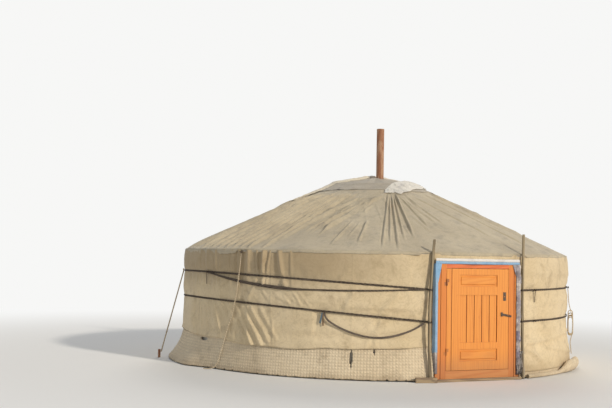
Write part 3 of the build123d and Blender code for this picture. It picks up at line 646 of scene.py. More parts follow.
def strap(name, points, wide, thick, replaced, finish, twist=0.0):
    """A flat limp strap: a thin section carried along the rope's own centreline, flat to the wall."""
    guide = rope_curve(name + "_guide", points, 0.0)
    line = line_of(guide)
    data = guide.data
    bpy.data.objects.remove(guide)
    bpy.data.curves.remove(data)
    corners = []
    for index, point in enumerate(line):
        along = direction(line, index)
        across = along.cross(outward(point)).normalized()
        out = across.cross(along)
        turn = twist * sin(3.0 * index / len(line) * pi)
        first, second = across * cos(turn) + out * sin(turn), out * cos(turn) - across * sin(turn)
        corners += [point + first * wide * a + second * thick * b for a, b in STRAP_SECTION]
    obj = shaped(name, corners, tube_faces(len(line), len(STRAP_SECTION), -1), finish)
    declare(obj, points[0], length_of(line), wide, replaced, "strap_webbing")


# %% [markdown]
# The strap hangs in a loop from one knot of the middle belt to the next. Short tails hang from the
# knots, and a longer rope comes down from under the eave and ends loose on the ground.

# %% Strap, tails and front rope
STRAP = (
    (-130.0, 2924, 833.8), (-129.8, 2923, 764), (-127.4, 2920, 682), (-124.0, 2920, 606),
    (-120.6, 2920, 556), (-117.0, 2920, 535), (-113.5, 2920, 553), (-110.1, 2920, 600),
    (-107.1, 2920, 662), (-105.2, 2922, 730),
)
TAILS = (
    ((-130.27, 2924, 834.6), (-130.4, 2922, 752), (-130.3, 2920, 668)),
    ((-130.48, 2924, 833.9), (-130.8, 2922, 765), (-131.1, 2920, 700)),
    ((-170.0, 2922, 1289.2), (-170.1, 2920, 1215), (-170.0, 2918, 1138)),
    ((-70.0, 2922, 1135.5), (-70.2, 2920, 1065), (-70.1, 2918, 990)),
)
TAIL_LOOK = ((0.020, brown_web), (0.022, tail_web), (0.014, dark_rope), (0.014, dark_rope))
FRONT_ROPE = (
    (-155.0, 2914, 1566.8), (-155.1, 2922, 1450), (-155.4, 2926, 1310), (-155.8, 2928, 1170),
    (-156.2, 2928, 1030), (-156.9, 2929, 890), (-157.6, 2927, 760), (-158.9, 2926, 620),
    (-160.0, 2927, 490), (-160.8, 2937, 360), (-161.4, 2953, 230), (-162.0, 2972, 105),
    (-162.8, 2998, 26), (-163.8, 3045, 8), (-165.2, 3089, 8),
)
strap("hanging_strap_band", [to_point(p) for p in STRAP], 0.024, 0.005, ["hanging_strap"], strap_web,
      0.35)
for number, (route, (wide, finish)) in enumerate(zip(TAILS, TAIL_LOOK), 1):
    strap(f"knot_tail_{number}", [to_point(p) for p in route], wide, 0.004, ["strap_tails"], finish)
cord("front_rope_line", [to_point(p) for p in FRONT_ROPE], 0.006, ["front_rope"], pale_rope, "guy_rope")

# %% [markdown]
# The hank is one rope: it comes down from its knot, goes round in loose oval turns, and its end
# hangs free below. Every turn has fourteen control points, reaches another height than the last and
# lies beside it, so that no turn runs through another. Each loop is written as how far it reaches
# down and up, and half its width.

# %% Hank
HANK_AT = -40.0
HANK_LEAD = ((-40.0, 2924, 1147.6), (-40.3, 2932, 1020), (-40.0, 2941, 905))
HANK_TAIL = ((-40.3, 2956, 368), (-39.8, 2967, 282), (-40.1, 2975, 200))
HANK_LOOPS = ((0.120, 0.120, 0.030), (0.135, 0.140, 0.034), (0.128, 0.180, 0.032), (0.145, 0.150, 0.036),
              (0.138, 0.220, 0.033))
HANK_DEPTH, HANK_PITCH, PER_TURN = 0.048, 0.0135, 14
hank_middle = polar(2.910 / cos(radians(2.5)), HANK_AT, 0.610)
hank_out = polar(1, -37.5)
hank_side = polar(1, -37.5 + 90)


def hank_point(sideways, depth, height):
    """A place in the hank: along the wall, out from it, and up from the middle."""
    return hank_middle + hank_side * sideways + hank_out * depth + Vector((0, 0, height))


turns = []
for down, up, half in HANK_LOOPS:
    for end, reach in ((-1, down), (1, up)):
        loop = [(HANK_DEPTH - end * half * cos(pi * k / 5), end * (reach - half + half * sin(pi * k / 5)))
                for k in range(6)]
        loop.append((HANK_DEPTH + end * (half + 0.002), 0.015 * sin(3 * len(turns))))
        turns += [hank_point(-0.036 + HANK_PITCH * (len(turns) + k) / PER_TURN, *spot)
                  for k, spot in enumerate(loop)]
into_turns = [hank_point(-0.028, 0.066, 0.170), hank_point(-0.0365, 0.080, 0.060)]
out_of_turns = [hank_point(0.030, 0.076, -0.110), hank_point(0.008, 0.056, -0.190)]
lead, tail = ([to_point(p) for p in route] for route in (HANK_LEAD, HANK_TAIL))
cord("hank_of_rope", lead + into_turns + turns + out_of_turns + tail, 0.006, ["rope_hank", "hank_rope"],
     pale_rope, "guy_rope")

# %% [markdown]
# The guy ropes carry a load, so they run straight from the upper belt down to the stakes.

# %% Guy ropes
GUYS = {"left": (165.0, 1.3140), "right": (15.0, 1.1820)}
GUY_TOP, GUY_FOOT, STAKE_TIE = 2.9186, 3.2270, 0.084
for side, (bearing, height) in GUYS.items():
    top, foot = polar(GUY_TOP, bearing, height), polar(GUY_FOOT, bearing, STAKE_TIE)
    points = [top.lerp(foot, share) for share in (0.0, 0.08, 0.5, 0.92, 1.0)]
    cord(f"guy_rope_{side}", points, 0.009, ["guy_ropes"], pale_rope, "guy_rope")

# %% [markdown]
# ## Cloth on a grid
# Each sheet starts as the flat piece that was cut, with its width and length in metres. A function
# says where each point of the cut ends up on the tent, and the same cut gives the weave its scale.
# A fold is a ridge along a line, with a shallow valley beside it.


# %% Soft steps, lines through points, and folds
def step(value, low, high):
    """0 before low, 1 after high, and soft between. low may be the larger."""
    share = min(1.0, max(0.0, (value - low) / (high - low)))
    return share * share * (3 - 2 * share)


def window(value, low, high, soft):
    """1 between two values and 0 outside, with soft edges."""
    return step(value, low - soft, low) * (1 - step(value, high, high + soft))


def through(table, x):
    """The value at x on a soft line through (x, value) pairs."""
    for (x0, y0), (x1, y1) in zip(table, table[1:]):
        if x <= x1:
            return y0 + (y1 - y0) * step(x, x0, x1)
    return table[-1][1]


def straight(table, x):
    """The value at x on straight runs through (x, value) pairs."""
    for (x0, y0), (x1, y1) in zip(table, table[1:]):
        if x <= x1:
            return y0 + (y1 - y0) * (x - x0) / (x1 - x0)
    return table[-1][1]


def waves(x, y, z=0.0):
    """Smooth noise from -1 to 1."""
    return noise.noise(Vector((x, y, z)))


def fold_at(folds, x, y):
    """Height at a point of folds written as (x0, y0, x1, y1, width, height)."""
    total = 0.0
    for x0, y0, x1, y1, width, height in folds:
        dx, dy = x1 - x0, y1 - y0
        long = hypot(dx, dy)
        t = ((x - x0) * dx + (y - y0) * dy) / (long * long)
        if -0.1 < t < 1.1:
            off = ((x - x0) * dy - (y - y0) * dx) / long / width
            if abs(off) < 4:
                ends = window(t, 0.12, 0.88, 0.2)
                total += height * ends * (exp(-off * off) - 0.45 * exp(-(off - 1.7) ** 2))
    return total


# %% A sheet from its cut
def finer(*runs):
    """Shares along a cut from (end, columns) runs, so that some stretches get finer columns."""
    stops = [0.0]
    for end, count in runs:
        begin = stops[-1]
        stops += [begin + (end - begin) * k / count for k in range(1, count + 1)]
    return stops


def cloth(name, place, columns, rows, flat, finish, thick=0.003, torn=None, closed=False, offset=-1.0):
    """A cloth on a grid. place(u, v) gives the point for a share u along and v up the cut."""
    stops = columns if isinstance(columns, list) else [k / columns for k in range(columns + 1)]
    count = len(stops) - 1
    wide = count if closed else count + 1
    used, corners, cut = {}, [], []

    def corner(i, j):
        key = (i % wide, j)
        if key not in used:
            used[key] = len(corners)
            corners.append(place(stops[key[0]], j / rows))
        return used[key]

    faces = []
    for i in range(count):
        for j in range(rows):
            if not (torn and torn((stops[i] + stops[i + 1]) / 2, (j + 0.5) / rows)):
                faces.append([corner(i, j), corner(i + 1, j), corner(i + 1, j + 1), corner(i, j + 1)])
                cut.append((i, j))
    obj = shaped(name, corners, faces, finish)
    layer = obj.data.uv_layers.new(name="cut")
    for face, (i, j) in zip(obj.data.polygons, cut):
        for loop, (di, dj) in zip(face.loop_indices, ((0, 0), (1, 0), (1, 1), (0, 1))):
            layer.data[loop].uv = (stops[i + di] * flat[0], (j + dj) / rows * flat[1])
    obj.data.shade_smooth()
    solid = obj.modifiers.new("cloth_thickness", "SOLIDIFY")
    solid.thickness = thick
    solid.offset = offset
    print(name, len(faces), "faces")
    return obj


def hang(obj, replaced, slot_name, flat, held, area=None):
    """Attaches a cloth to the tent and hides the CAD nodes it stands for. Its cut and how it is held are not used.
    """
    settle(obj, slot_name, *replaced)


# %% [markdown]
# ## Belts
# Two belts of dark rope go round the wall and pinch the canvas. Their heights change in a straight
# line from the door to the sides. The upper belt has a second, slack strand on the left. Each is a
# flattened tube whose oval section turns as it goes, which reads as twisted rope.

# %% Belt heights
UPPER = (1.310, 1.150, 1.172)
MIDDLE = (0.945, 0.742, 0.755)
BELT, BELT_SIDE = 2.9052, 2.9093
SLACK = ((-2.868, 0.0), (-2.790, 0.046), (-2.698, 0.080), (-2.565, 0.108), (-2.423, 0.128), (-2.190, 0.138),
         (-1.785, 0.112), (-1.343, 0.072), (-0.700, 0.0))


def belt_height(heights, bearing):
    """Height of a belt at a bearing, from its heights at the left side, the door and the right side."""
    left, door, right = heights
    x = BELT * cos(radians(bearing))
    share = max(0.0, (abs(x) - frame_half) / (BELT_SIDE - frame_half))
    return door + ((left if x < 0 else right) - door) * share


def wound(line, wide, deep, pitch):
    """A twisted rope on a line of points: an oval section that turns as it goes."""
    sides, corners, gone = 8, [], 0.0
    for index, point in enumerate(line):
        gone += (point - line[max(index - 1, 0)]).length
        out = outward(point)
        up = direction(line, index).cross(out).normalized()
        if up.z < 0:
            up = -up
        turn = 2 * pi * gone / pitch
        half = wide[index] if isinstance(wide, list) else wide
        for side in range(sides):
            angle = 2 * pi * side / sides
            swell = 1 + 0.22 * cos(2 * (angle - turn))
            corners.append(point + up * half * swell * sin(angle) + out * deep * cos(angle) * (2 - swell) ** 0.5)
    return corners, tube_faces(len(line), sides, 1)


def joined(name, parts, finish):
    """One object from several lists of corners and faces."""
    corners, faces = [], []
    for some, more in parts:
        faces += [tuple(i + len(corners) for i in face) for face in more]
        corners += some
    obj = shaped(name, corners, faces, finish)
    obj.data.validate()
    obj.data.shade_smooth()
    print(name, len(faces), "faces")
    return obj


def round_wall(heights, shift, phase):
    """A line round the wall at a belt's height, a little up or down, and not quite steady."""
    first, last = DOOR + door_gap + 0.3, DOOR + 360 - door_gap - 0.3
    count = int(radians(last - first) * BELT / 0.02)
    line = []
    for index in range(count + 1):
        bearing = first + (last - first) * index / count
        wander = 0.0022 * waves(bearing * 0.22, phase)
        line.append(polar(BELT, bearing, belt_height(heights, bearing) + shift + wander))
    return line


for name, heights, strands in (
    ("upper_belt", UPPER, ((0.0055, 1.0, 0.11), (-0.0065, 5.0, 0.12))),
    ("middle_belt", MIDDLE, ((0.0055, 9.0, 0.12), (-0.0065, 13.0, 0.11))),
):
    ropes = [wound(round_wall(heights, shift, phase), 0.0062, 0.0042, pitch) for shift, phase, pitch in strands]
    settle(joined(name + "_rope", ropes, dark_rope), "belt_rope", name)

# %% [markdown]
# ## Knots
# Every tie of the belts ends in a knot. A three-lobed loop that passes over and under itself is the
# simplest closed line that looks tied, so each knot is a fat tube on that line.

# %% Knots
KNOT_FACE, KNOT_DEEP, LOWER_KNOT = 2.9096, 0.0135, 0.76
KNOTS = [(at, belt_height(heights, at), KNOT_FACE)
         for heights, places in ((UPPER, (-170, -70, -40)), (MIDDLE, (-130, -105, -70))) for at in places]
KNOTS.append((-155, EAVE - 0.035, 2.9003))


def knot(bearing, height, face):
    """A trefoil tube inside the knot's block. The blocks are flat to the wall every 7.5 degrees."""
    flat = round(bearing / 7.5) * 7.5
    out, side = polar(1, flat), polar(1, flat + 90)
    middle = polar((face + KNOT_DEEP) / cos(radians(bearing - flat)), bearing, height)
    steps, sides, thick = 60, 8, 0.0052
    line = []
    for index in range(steps):
        t = 2 * pi * index / steps
        line.append(
            middle + side * 0.0079 * (sin(t) + 2 * sin(2 * t)) + out * 0.0068 * -sin(3 * t)
            + Vector((0, 0, 0.0037 * (cos(t) - 2 * cos(2 * t))))
        )
    corners = []
    for index, point in enumerate(line):
        along = (line[(index + 1) % steps] - line[index - 1]).normalized()
        first = along.cross(out + side * 0.3).normalized()
        second = along.cross(first)
        for number in range(sides):
            angle = 2 * pi * number / sides
            corners.append(point + thick * (first * cos(angle) + second * sin(angle)))
    return corners, tube_faces(steps, sides, 0)


settle(joined("tied_knots", [knot(*place) for place in KNOTS], dark_rope), "belt_rope", "knots")
guy_knots = []
for bearing, height in GUYS.values():
    along_rope = GUY_TOP + (GUY_FOOT - GUY_TOP) * LOWER_KNOT
    guy_knots.append(knot(bearing, height + (STAKE_TIE - height) * LOWER_KNOT, along_rope - KNOT_DEEP))
    guy_knots.append(knot(bearing, height + 0.004, 2.9100))
settle(joined("guy_rope_knots", guy_knots, pale_rope), "guy_rope", "guy_ropes")

# %% [markdown]
# ## Wall canvas
# The canvas hangs from the eave and is held by the two belts. Between them it bulges, at them it
# gathers in short pleats, and where the pull is uneven it lies in long slanting folds. Right of the
# door it hangs down nearly to the ground, and elsewhere its hem lies over the skirt. Where a rope or
# a pole rests on the wall the cloth lies flat under it.


# %% Skirt and wall surfaces
SKIRT_TOP_OUT = 2.9035


def turned(bearing):
    """A bearing brought into the range from the door once round."""
    return (bearing - DOOR) % 360 + DOOR


def skirt_out(bearing, height):
    """Distance of the skirt's outside from the middle."""
    share = max(0.0, 1 - height / skirt_top)
    around = turned(bearing)
    spread = 0.17 * window(around, 156, 184, 12)
    small = 0.018 * waves(radians(bearing) * 16.0, 6.0) * window(around, 150, 190, 6)
    pleats = 0.010 * waves(radians(bearing) * 7.0, 3.0) + small
    pleats *= 1 - window(around, 194, 202, 3)
    return SKIRT_TOP_OUT + 0.056 * share + spread * share**2 + max(-0.002, pleats) * share


HEM = ((-78, 0.080), (22, 0.085), (36, 0.33), (70, 0.37), (120, 0.41), (150, 0.39), (168, 0.46), (184, 0.425),
       (194, 0.415), (208, 0.37), (222, 0.36), (232, 0.385), (245, 0.40), (258, 0.43))
CALM = (
    (-132.0, -104.0, 0.50, 0.87), (-162.5, -153.5, 0.36, 1.60), (-171.5, -168.5, 1.10, 1.31),
    (-71.5, -68.5, 0.96, 1.17), (-44.5, -35.5, 0.36, 1.19), (-107.5, -101.5, 0.0, 1.63),
    (-79.0, -74.0, 0.0, 1.63),
)
LOOSE = ((-78, 0.010), (-60, 0.026), (0, 0.026), (60, 0.016), (150, 0.018), (170, 0.022), (200, 0.014),
         (258, 0.012))
ARC = WALL * pi / 180
rng = random.Random(7)
wall_folds = []


def wall_fold(bearing, top, last_bearing, low, width, height):
    """A fold between two places on the wall, kept in metres along the wall."""
    wall_folds.append((bearing * ARC, top, last_bearing * ARC, low, width, height))


for bearing, top, slant, width, height, long in (
    (-166.0, 0.90, 3.0, 0.024, 0.020, 0.40), (-163.2, 0.90, 4.5, 0.026, 0.026, 0.46),
    (-160.4, 0.90, 6.0, 0.026, 0.030, 0.52), (-157.4, 0.90, 7.5, 0.028, 0.034, 0.56),
    (-154.6, 0.90, 7.5, 0.030, 0.030, 0.54), (-151.6, 0.88, 6.5, 0.026, 0.020, 0.46),
    (-148.4, 0.86, 5.5, 0.024, 0.012, 0.40), (-169.5, 0.92, 2.0, 0.030, 0.016, 0.42),
    (-174.0, 0.93, 1.0, 0.034, 0.014, 0.40), (-178.5, 0.93, 0.0, 0.034, 0.016, 0.42),
):
    wall_fold(turned(bearing), top, turned(bearing) + slant, top - long, width, height)
for bearing, slant, width, height in (
    (-158.8, -0.6, 0.020, 0.020), (-156.4, 0.3, 0.026, 0.034), (-153.0, -0.4, 0.038, 0.044),
    (-150.2, 1.6, 0.016, 0.014), (-147.6, 0.2, 0.034, 0.040), (-145.6, -0.8, 0.014, 0.014),
    (-143.2, 2.2, 0.030, 0.028), (-139.6, 0.6, 0.022, 0.008), (-162.0, -0.8, 0.030, 0.016),
    (-170.0, 0.0, 0.040, 0.014), (-166.0, 1.2, 0.022, 0.012), (-174.0, -0.8, 0.030, 0.016),
):
    wall_fold(turned(bearing), 1.66, turned(bearing) + slant, 1.15, width, height)
for bearing, top, last_bearing, low, width, height in (
    (-78.0, 0.440, -44.0, 0.560, 0.032, 0.036), (-78.0, 1.40, -42.0, 1.36, 0.040, 0.014),
    (-77.0, 0.460, -66.0, 0.180, 0.030, 0.028), (-66.0, 0.400, -42.0, 0.240, 0.034, 0.024),
    (-77.0, 0.960, -48.0, 1.000, 0.034, 0.012), (-74.0, 0.660, -60.0, 0.620, 0.030, 0.010),
    (-140.0, 0.600, -112.0, 0.640, 0.040, 0.010), (-135.0, 0.97, -108.0, 0.90, 0.036, 0.008),
):
    wall_fold(turned(bearing), top, turned(last_bearing), low, width, height)
for number in range(16):
    bearing = turned(rng.uniform(-158, -134))
    top = rng.uniform(0.98, 1.12)
    wall_fold(bearing, top, bearing + rng.uniform(1.5, 4.5), top - rng.uniform(0.10, 0.18),
              rng.uniform(0.010, 0.016), rng.uniform(0.005, 0.010))
for number in range(120):
    bearing = rng.uniform(-76, 256)
    low = rng.choice((0.42, 0.80, 1.16))
    lean = rng.uniform(-5.5, 5.5)
    wall_fold(bearing, low + rng.uniform(0.22, 0.38), bearing + lean, low,
              rng.uniform(0.020, 0.045), rng.uniform(0.004, 0.013))
wall_folds.sort()


def calm(bearing, height):
    """How far the cloth is pressed flat by something that hangs in front of it."""
    most = 0.0
    for first, last, low, high in CALM:
        share = window(bearing, turned(first), turned(last), 1.5) * window(height, low, high, 0.03)
        most = max(most, share)
    return most


def wall_place(bearing, height, near):
    """A point of the wall canvas."""
    middle, upper = belt_height(MIDDLE, bearing), belt_height(UPPER, bearing)
    hem = through(HEM, bearing)
    loose = through(LOOSE, bearing)
    arc = bearing * ARC
    if height > upper:
        share = (height - upper) / (EAVE - upper)
        bulge = 0.9 * sin(pi * share) ** 0.7
    elif height > middle:
        bulge = 0.8 * sin(pi * (height - middle) / (upper - middle)) ** 0.7
    else:
        bulge = 0.7 * sin(pi / 2 * min(1.0, 1.3 * (middle - height) / (middle - hem))) ** 0.8
    tie = min(abs(height - upper), abs(height - middle))
    pleat = waves(arc * 11.0, height * 1.6, 7.0) * 0.0065 * exp(-((tie - 0.05) / 0.075) ** 2)
    pleat *= step(tie, 0.004, 0.03)
    soft = 0.006 * waves(arc * 2.2, height * 3.0) + 0.0025 * waves(arc * 8.0 + height * 3.0, height * 8.0, 2.0)
    soft *= step(tie, 0.0, 0.07)
    eave = 0.004 * waves(arc * 14.0, 5.0) * step(height, 1.50, 1.60)
    bent = arc + 0.020 * waves(arc * 1.4, height * 3.4, 11.0)
    seam = 0.003 * exp(-(((bearing + 60) % 22 - 11) * ARC / 0.009) ** 2)
    out = loose * bulge + pleat + soft + eave + seam + fold_at(near, bent, height) * step(tie, 0.0, 0.05)
    out -= 0.004 * exp(-(tie / 0.018) ** 2)
    pressed = calm(bearing, height)
    out += (min(out - 0.012, 0.004) - out) * pressed
    base = WALL - 0.0015
    over_skirt = skirt_out(bearing, height) + 0.0065
    on_skirt = 1 - step(height, skirt_top, skirt_top + 0.09)
    base = base + max(0.0, over_skirt - base) * on_skirt
    near_ground = 1 - step(height, 0.07, 0.30)
    lowest = -0.016 + 0.014 * on_skirt
    return polar(base + max(lowest, out) * (1 - 0.8 * near_ground), bearing, height)


# %% Wall canvas
wall_first, wall_last = DOOR + door_gap, DOOR + 360 - door_gap
WALL_COLUMNS = finer(((turned(-180) - wall_first) / (wall_last - wall_first), 390), (1.0, 420))
column_folds = {}


def near_folds(bearing):
    """The folds that can touch a column, looked up once."""
    key = round(bearing * 2)
    if key not in column_folds:
        arc = bearing * ARC
        column_folds[key] = [f for f in wall_folds if min(f[0], f[2]) - 0.2 < arc < max(f[0], f[2]) + 0.2]
    return column_folds[key]


def wall_point(u, v):
    """The wall canvas from its hem, at v 0, up to the eave."""
    bearing = wall_first + u * (wall_last - wall_first)
    hem = through(HEM, bearing) + 0.012 * waves(bearing * 0.12, 9.0) * window(bearing, 40, 250, 8)
    height = hem + (EAVE - 0.004 - hem) * v
    return wall_place(bearing, height, near_folds(bearing))


wall_length = radians(wall_last - wall_first) * WALL
wall_cloth = cloth("wall_canvas_cloth", wall_point, WALL_COLUMNS, 56, (wall_length, 1.3), canvas)


def over_door_point(u, v):
    """The strip of canvas over the door."""
    bearing = DOOR - door_gap + 2 * door_gap * u
    height = frame_top + 0.004 + (EAVE - 0.008 - frame_top) * v
    return polar(WALL - 0.001 + 0.006 * sin(pi * v) + 0.002 * waves(bearing, height * 9), bearing, height)


over_door = cloth("canvas_over_door", over_door_point, 56, 8, (1.29, 0.14), canvas)
hang(wall_cloth, ["wall_canvas"], "canvas", (17.1, 1.55), "hung")
hang(over_door, ["wall_canvas"], "canvas", (1.3, 0.14), "hung")

# %% [markdown]
# The slack strand of the upper belt hangs on the canvas, so it is laid when the canvas is known: it
# follows the bulges, bridges the hollows and lies flatter where it hangs free.

# %% Slack strand
SLACK_STEPS = 160
slack_places = []
for index in range(SLACK_STEPS + 1):
    x = SLACK[0][0] + (SLACK[-1][0] - SLACK[0][0]) * index / SLACK_STEPS
    bearing = turned(degrees(atan2(-sqrt(BELT**2 - x * x), x)))
    height = belt_height(UPPER, bearing) - sum(straight(SLACK, x + 0.015 * k) for k in range(-4, 5)) / 9
    surface = wall_place(bearing, height, near_folds(bearing))
    slack_places.append((bearing, height, max(BELT, hypot(surface.x, surface.y) + 0.0050)))
bridged = [max(place[2] for place in slack_places[max(0, index - 8):index + 9])
           for index in range(SLACK_STEPS + 1)]
slack_line, slack_wide = [], []
for index, (bearing, height, _) in enumerate(slack_places):
    nearby = bridged[max(0, index - 14):index + 15]
    slack_line.append(polar(sum(nearby) / len(nearby) + 0.003, bearing, height))
    slack_wide.append(0.0085 + 0.0115 * window(index, 14, 40, 22))
slack_strand = joined("slack_strand", [wound(slack_line, slack_wide, 0.0040, 9.0)], dark_rope)
settle(slack_strand, "belt_rope", "upper_belt")

# %% [markdown]
# ## Skirt
# The skirt is quilted in small squares. The squares are real hollows in the mesh, a few millimetres
# deep. It flares towards the ground, spreads out on the left, and is torn in two places.

# %% Skirt
TEARS = ((-123.1, 0.15, 0.40, 0.35), (-117.4, 0.32, 0.41, 0.22), (-171.0, 0.36, 0.40, 2.2))
PER_SQUARE = 3
SQUARES_ROUND, SQUARES_HIGH = 424, 11


def skirt_point(u, v):
    """The skirt from the ground up. Every third line of the grid is a line of stitches."""
    bearing = wall_first + u * (wall_last - wall_first)
    lifted = 0.045 * max(0.0, waves(bearing * 1.3, 8.0)) ** 1.5
    foot = 0.004 + 0.014 * (0.5 + 0.5 * waves(bearing * 0.5, 4.0)) + lifted
    height = foot + (skirt_top - foot) * v
    column, row = round(u * SQUARES_ROUND * PER_SQUARE), round(v * SQUARES_HIGH * PER_SQUARE)
    stitched = column % PER_SQUARE == 0 or row % PER_SQUARE == 0
    puff = 0.0015 * waves(column // PER_SQUARE * 1.7, row // PER_SQUARE * 1.7)
    return polar(skirt_out(bearing, height) - (0.0045 if stitched else puff), bearing, height)


def skirt_torn(u, v):
    """Where the skirt has worn through."""
    bearing, height = wall_first + u * (wall_last - wall_first), skirt_top * v
    for at, low, high, wide in TEARS:
        if low < height < high:
            share = (height - low) / (high - low)
            if abs(bearing - turned(at)) < wide * (0.35 + 0.65 * sin(pi * share)):
                return True
    return False


skirt = cloth("skirt_cloth", skirt_point, SQUARES_ROUND * PER_SQUARE, SQUARES_HIGH * PER_SQUARE,
              (SQUARES_ROUND * QUILT, SQUARES_HIGH * QUILT), quilt_canvas, 0.004, skirt_torn)
hang(skirt, ["skirt"], "quilted_canvas", (17.2, 0.45), "hung")

# %% [markdown]
# The loose end of the skirt is rolled up and lies on the ground right of the door. It is a sheet
# wound in a spiral, which unwinds a little and grows thick where it ends.

# %% Rolled end of the skirt
ROLL_FIRST, ROLL_THICK, ROLL_LAST = -75.0, -54.0, -40.2
ROLL_BACK, WINDINGS = 2.9632, 2.4


def roll_point(u, v):
    """The rolled sheet: u goes along the wall and v winds from the outside in."""
    bearing = ROLL_FIRST + (ROLL_LAST - ROLL_FIRST) * u
    grow = step(bearing, ROLL_THICK - 5, ROLL_THICK + 1.5)
    half_deep, half_high = 0.0295 + 0.0335 * grow, 0.029 + 0.060 * grow
    angle = -0.6 * pi + 2 * pi * WINDINGS * v
    tight = 1 - 0.55 * v + 0.05 * waves(bearing * 0.6, v * 9, 3.0)
    lumps = 1 + 0.09 * waves(bearing * 0.9, angle * 0.7, 1.0) + 0.05 * waves(bearing * 3.2, angle * 0.8, 7.0)
    deep = half_deep * tight * lumps * sin(angle)
    high = half_high * tight * lumps * -cos(angle)
    return polar(ROLL_BACK + half_deep + deep, bearing, max(0.003, half_high + 0.002 + high))


roll_flat = (radians(ROLL_LAST - ROLL_FIRST) * 3.0, 0.75)
hem_roll = cloth("rolled_skirt_end", roll_point, 150, 84, roll_flat, quilt_canvas, 0.003)
hang(hem_roll, ["hem_bundle"], "quilted_canvas", roll_flat, "folded")

# %% [markdown]
# ## Felt
# Felt hangs between the lattice and the canvas and lies under the roof canvas. From outside none of
# it shows, but through the open door it fills the gaps of the lattice. It is one soft, slightly
# uneven layer.


# %% Felt
FELT_WALL, FELT_OVER_DOOR = 2.8745, 2.893
felt_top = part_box("felt_wall")[1][2]


def felt_point(u, v):
    """The felt wall, pressed a little into the lattice gaps."""
    bearing = wall_first + u * (wall_last - wall_first)
    height = 0.002 + (felt_top - 0.004) * v
    return polar(FELT_WALL + 0.0025 * waves(bearing * 0.9, height * 9), bearing, height)


felt_wall = cloth("felt_wall_sheet", felt_point, 240, 20, (16.9, 1.6), felt, 0.006)
hang(felt_wall, ["felt_wall"], "felt", (16.9, 1.6), "hung")


def felt_over_point(u, v):
    """The felt over the door."""
    bearing = DOOR - door_gap + 0.1 + (2 * door_gap - 0.2) * u
    low = frame_top + 0.001
    return polar(FELT_OVER_DOOR, bearing, low + (felt_top - 0.003 - low) * v)


felt_over = cloth("felt_over_door_sheet", felt_over_point, 24, 3, (1.26, 0.12), felt, 0.006)
hang(felt_over, ["felt_over_door"], "felt", (1.26, 0.12), "hung")


ROOF_FELT_IN, ROOF_FELT_OUT = 0.702, 2.892


def roof_felt_point(u, v):
    """The roof felt, sagging a little between the poles."""
    bearing = 360 * u
    out = ROOF_FELT_IN + (ROOF_FELT_OUT - ROOF_FELT_IN) * (1 - v)
    return polar(out, bearing, roof_line(out) - 0.019 + 0.003 * waves(bearing * 0.5, out * 4))


roof_felt = cloth("roof_felt_sheet", roof_felt_point, 240, 24, (18.0, 2.4), felt, 0.012, closed=True)
hang(roof_felt, ["roof_felt"], "felt", (18.0, 2.4), "laid", area=27.3)

# %% [markdown]
# ## Roof canvas
# The roof canvas is a shallow cone. It isn't sewn to the true shape, so its spare width gathers in
# folds that run from the crown to the eave. On the left they are long and deep, in front they meet
# at the corner of the crown cloth. Its edge turns over the eave in an uneven hem.

# %% Roof folds
roof_folds = []


def roof_fold(first, last, width, height):
    """A fold between two places of (bearing, distance), seen from above."""
    a, b = polar(first[1], first[0]), polar(last[1], last[0])
    roof_folds.append((a.x, a.y, b.x, b.y, width, height))


for first_bearing, inner, last_bearing, outer, width, height in (
    (165.0, 1.20, 164.0, 2.88, 0.026, 0.036), (172.0, 1.20, 173.0, 2.90, 0.026, 0.042),
    (178.0, 1.10, 178.0, 2.88, 0.024, 0.046), (-176.0, 1.15, -176.0, 2.90, 0.024, 0.052),
    (-171.0, 1.10, -169.7, 2.88, 0.022, 0.054), (-170.6, 1.43, -172.6, 2.90, 0.018, 0.038),
    (-167.2, 1.40, -178.8, 2.62, 0.018, 0.034), (-162.0, 1.10, -166.0, 2.88, 0.022, 0.056),
    (-157.0, 1.15, -162.8, 2.88, 0.020, 0.050), (-152.3, 1.10, -159.6, 2.86, 0.022, 0.056),
    (-148.0, 1.15, -156.8, 2.88, 0.018, 0.044), (-143.1, 1.10, -153.6, 2.88, 0.022, 0.054),
    (-139.0, 1.20, -151.0, 2.60, 0.016, 0.036), (-134.3, 1.10, -148.7, 2.86, 0.022, 0.048),
    (-130.5, 1.25, -147.0, 2.30, 0.015, 0.030), (-126.4, 1.20, -146.9, 2.60, 0.020, 0.042),
    (-121.0, 1.20, -141.0, 2.35, 0.016, 0.028), (-116.0, 1.15, -138.0, 2.20, 0.016, 0.026),
    (-111.0, 1.10, -134.7, 2.30, 0.020, 0.036), (-126.3, 2.05, -129.5, 2.68, 0.018, 0.022),
    (-120.5, 2.00, -122.2, 2.62, 0.018, 0.024), (-123.4, 2.10, -125.6, 2.50, 0.014, 0.014),
    (-106.6, 1.05, -115.6, 2.76, 0.013, 0.024), (-105.4, 1.05, -113.2, 2.60, 0.012, 0.022),
    (-104.1, 1.05, -111.4, 2.78, 0.014, 0.028), (-102.8, 1.05, -108.8, 2.50, 0.012, 0.022),
    (-101.3, 1.05, -105.6, 2.40, 0.015, 0.034), (-99.0, 1.20, -98.0, 2.10, 0.015, 0.018),
    (-94.0, 1.20, -90.0, 2.00, 0.020, 0.012), (-86.0, 1.20, -76.0, 2.40, 0.024, 0.013),
    (-70.0, 1.00, -64.0, 2.60, 0.026, 0.014), (-58.0, 0.95, -53.0, 2.80, 0.028, 0.016),
):
    roof_fold((first_bearing, inner), (last_bearing, outer), width, height)
for number in range(46):
    bearing = rng.uniform(-178, -116)
    inner = rng.uniform(1.0, 1.8)
    long = rng.uniform(0.4, 1.1)
    lean = (-24 + 0.4 * (-111 - bearing)) * long / 1.4
    roof_fold((bearing, inner), (bearing + lean, inner + long),
              rng.uniform(0.011, 0.018), rng.uniform(0.010, 0.024))
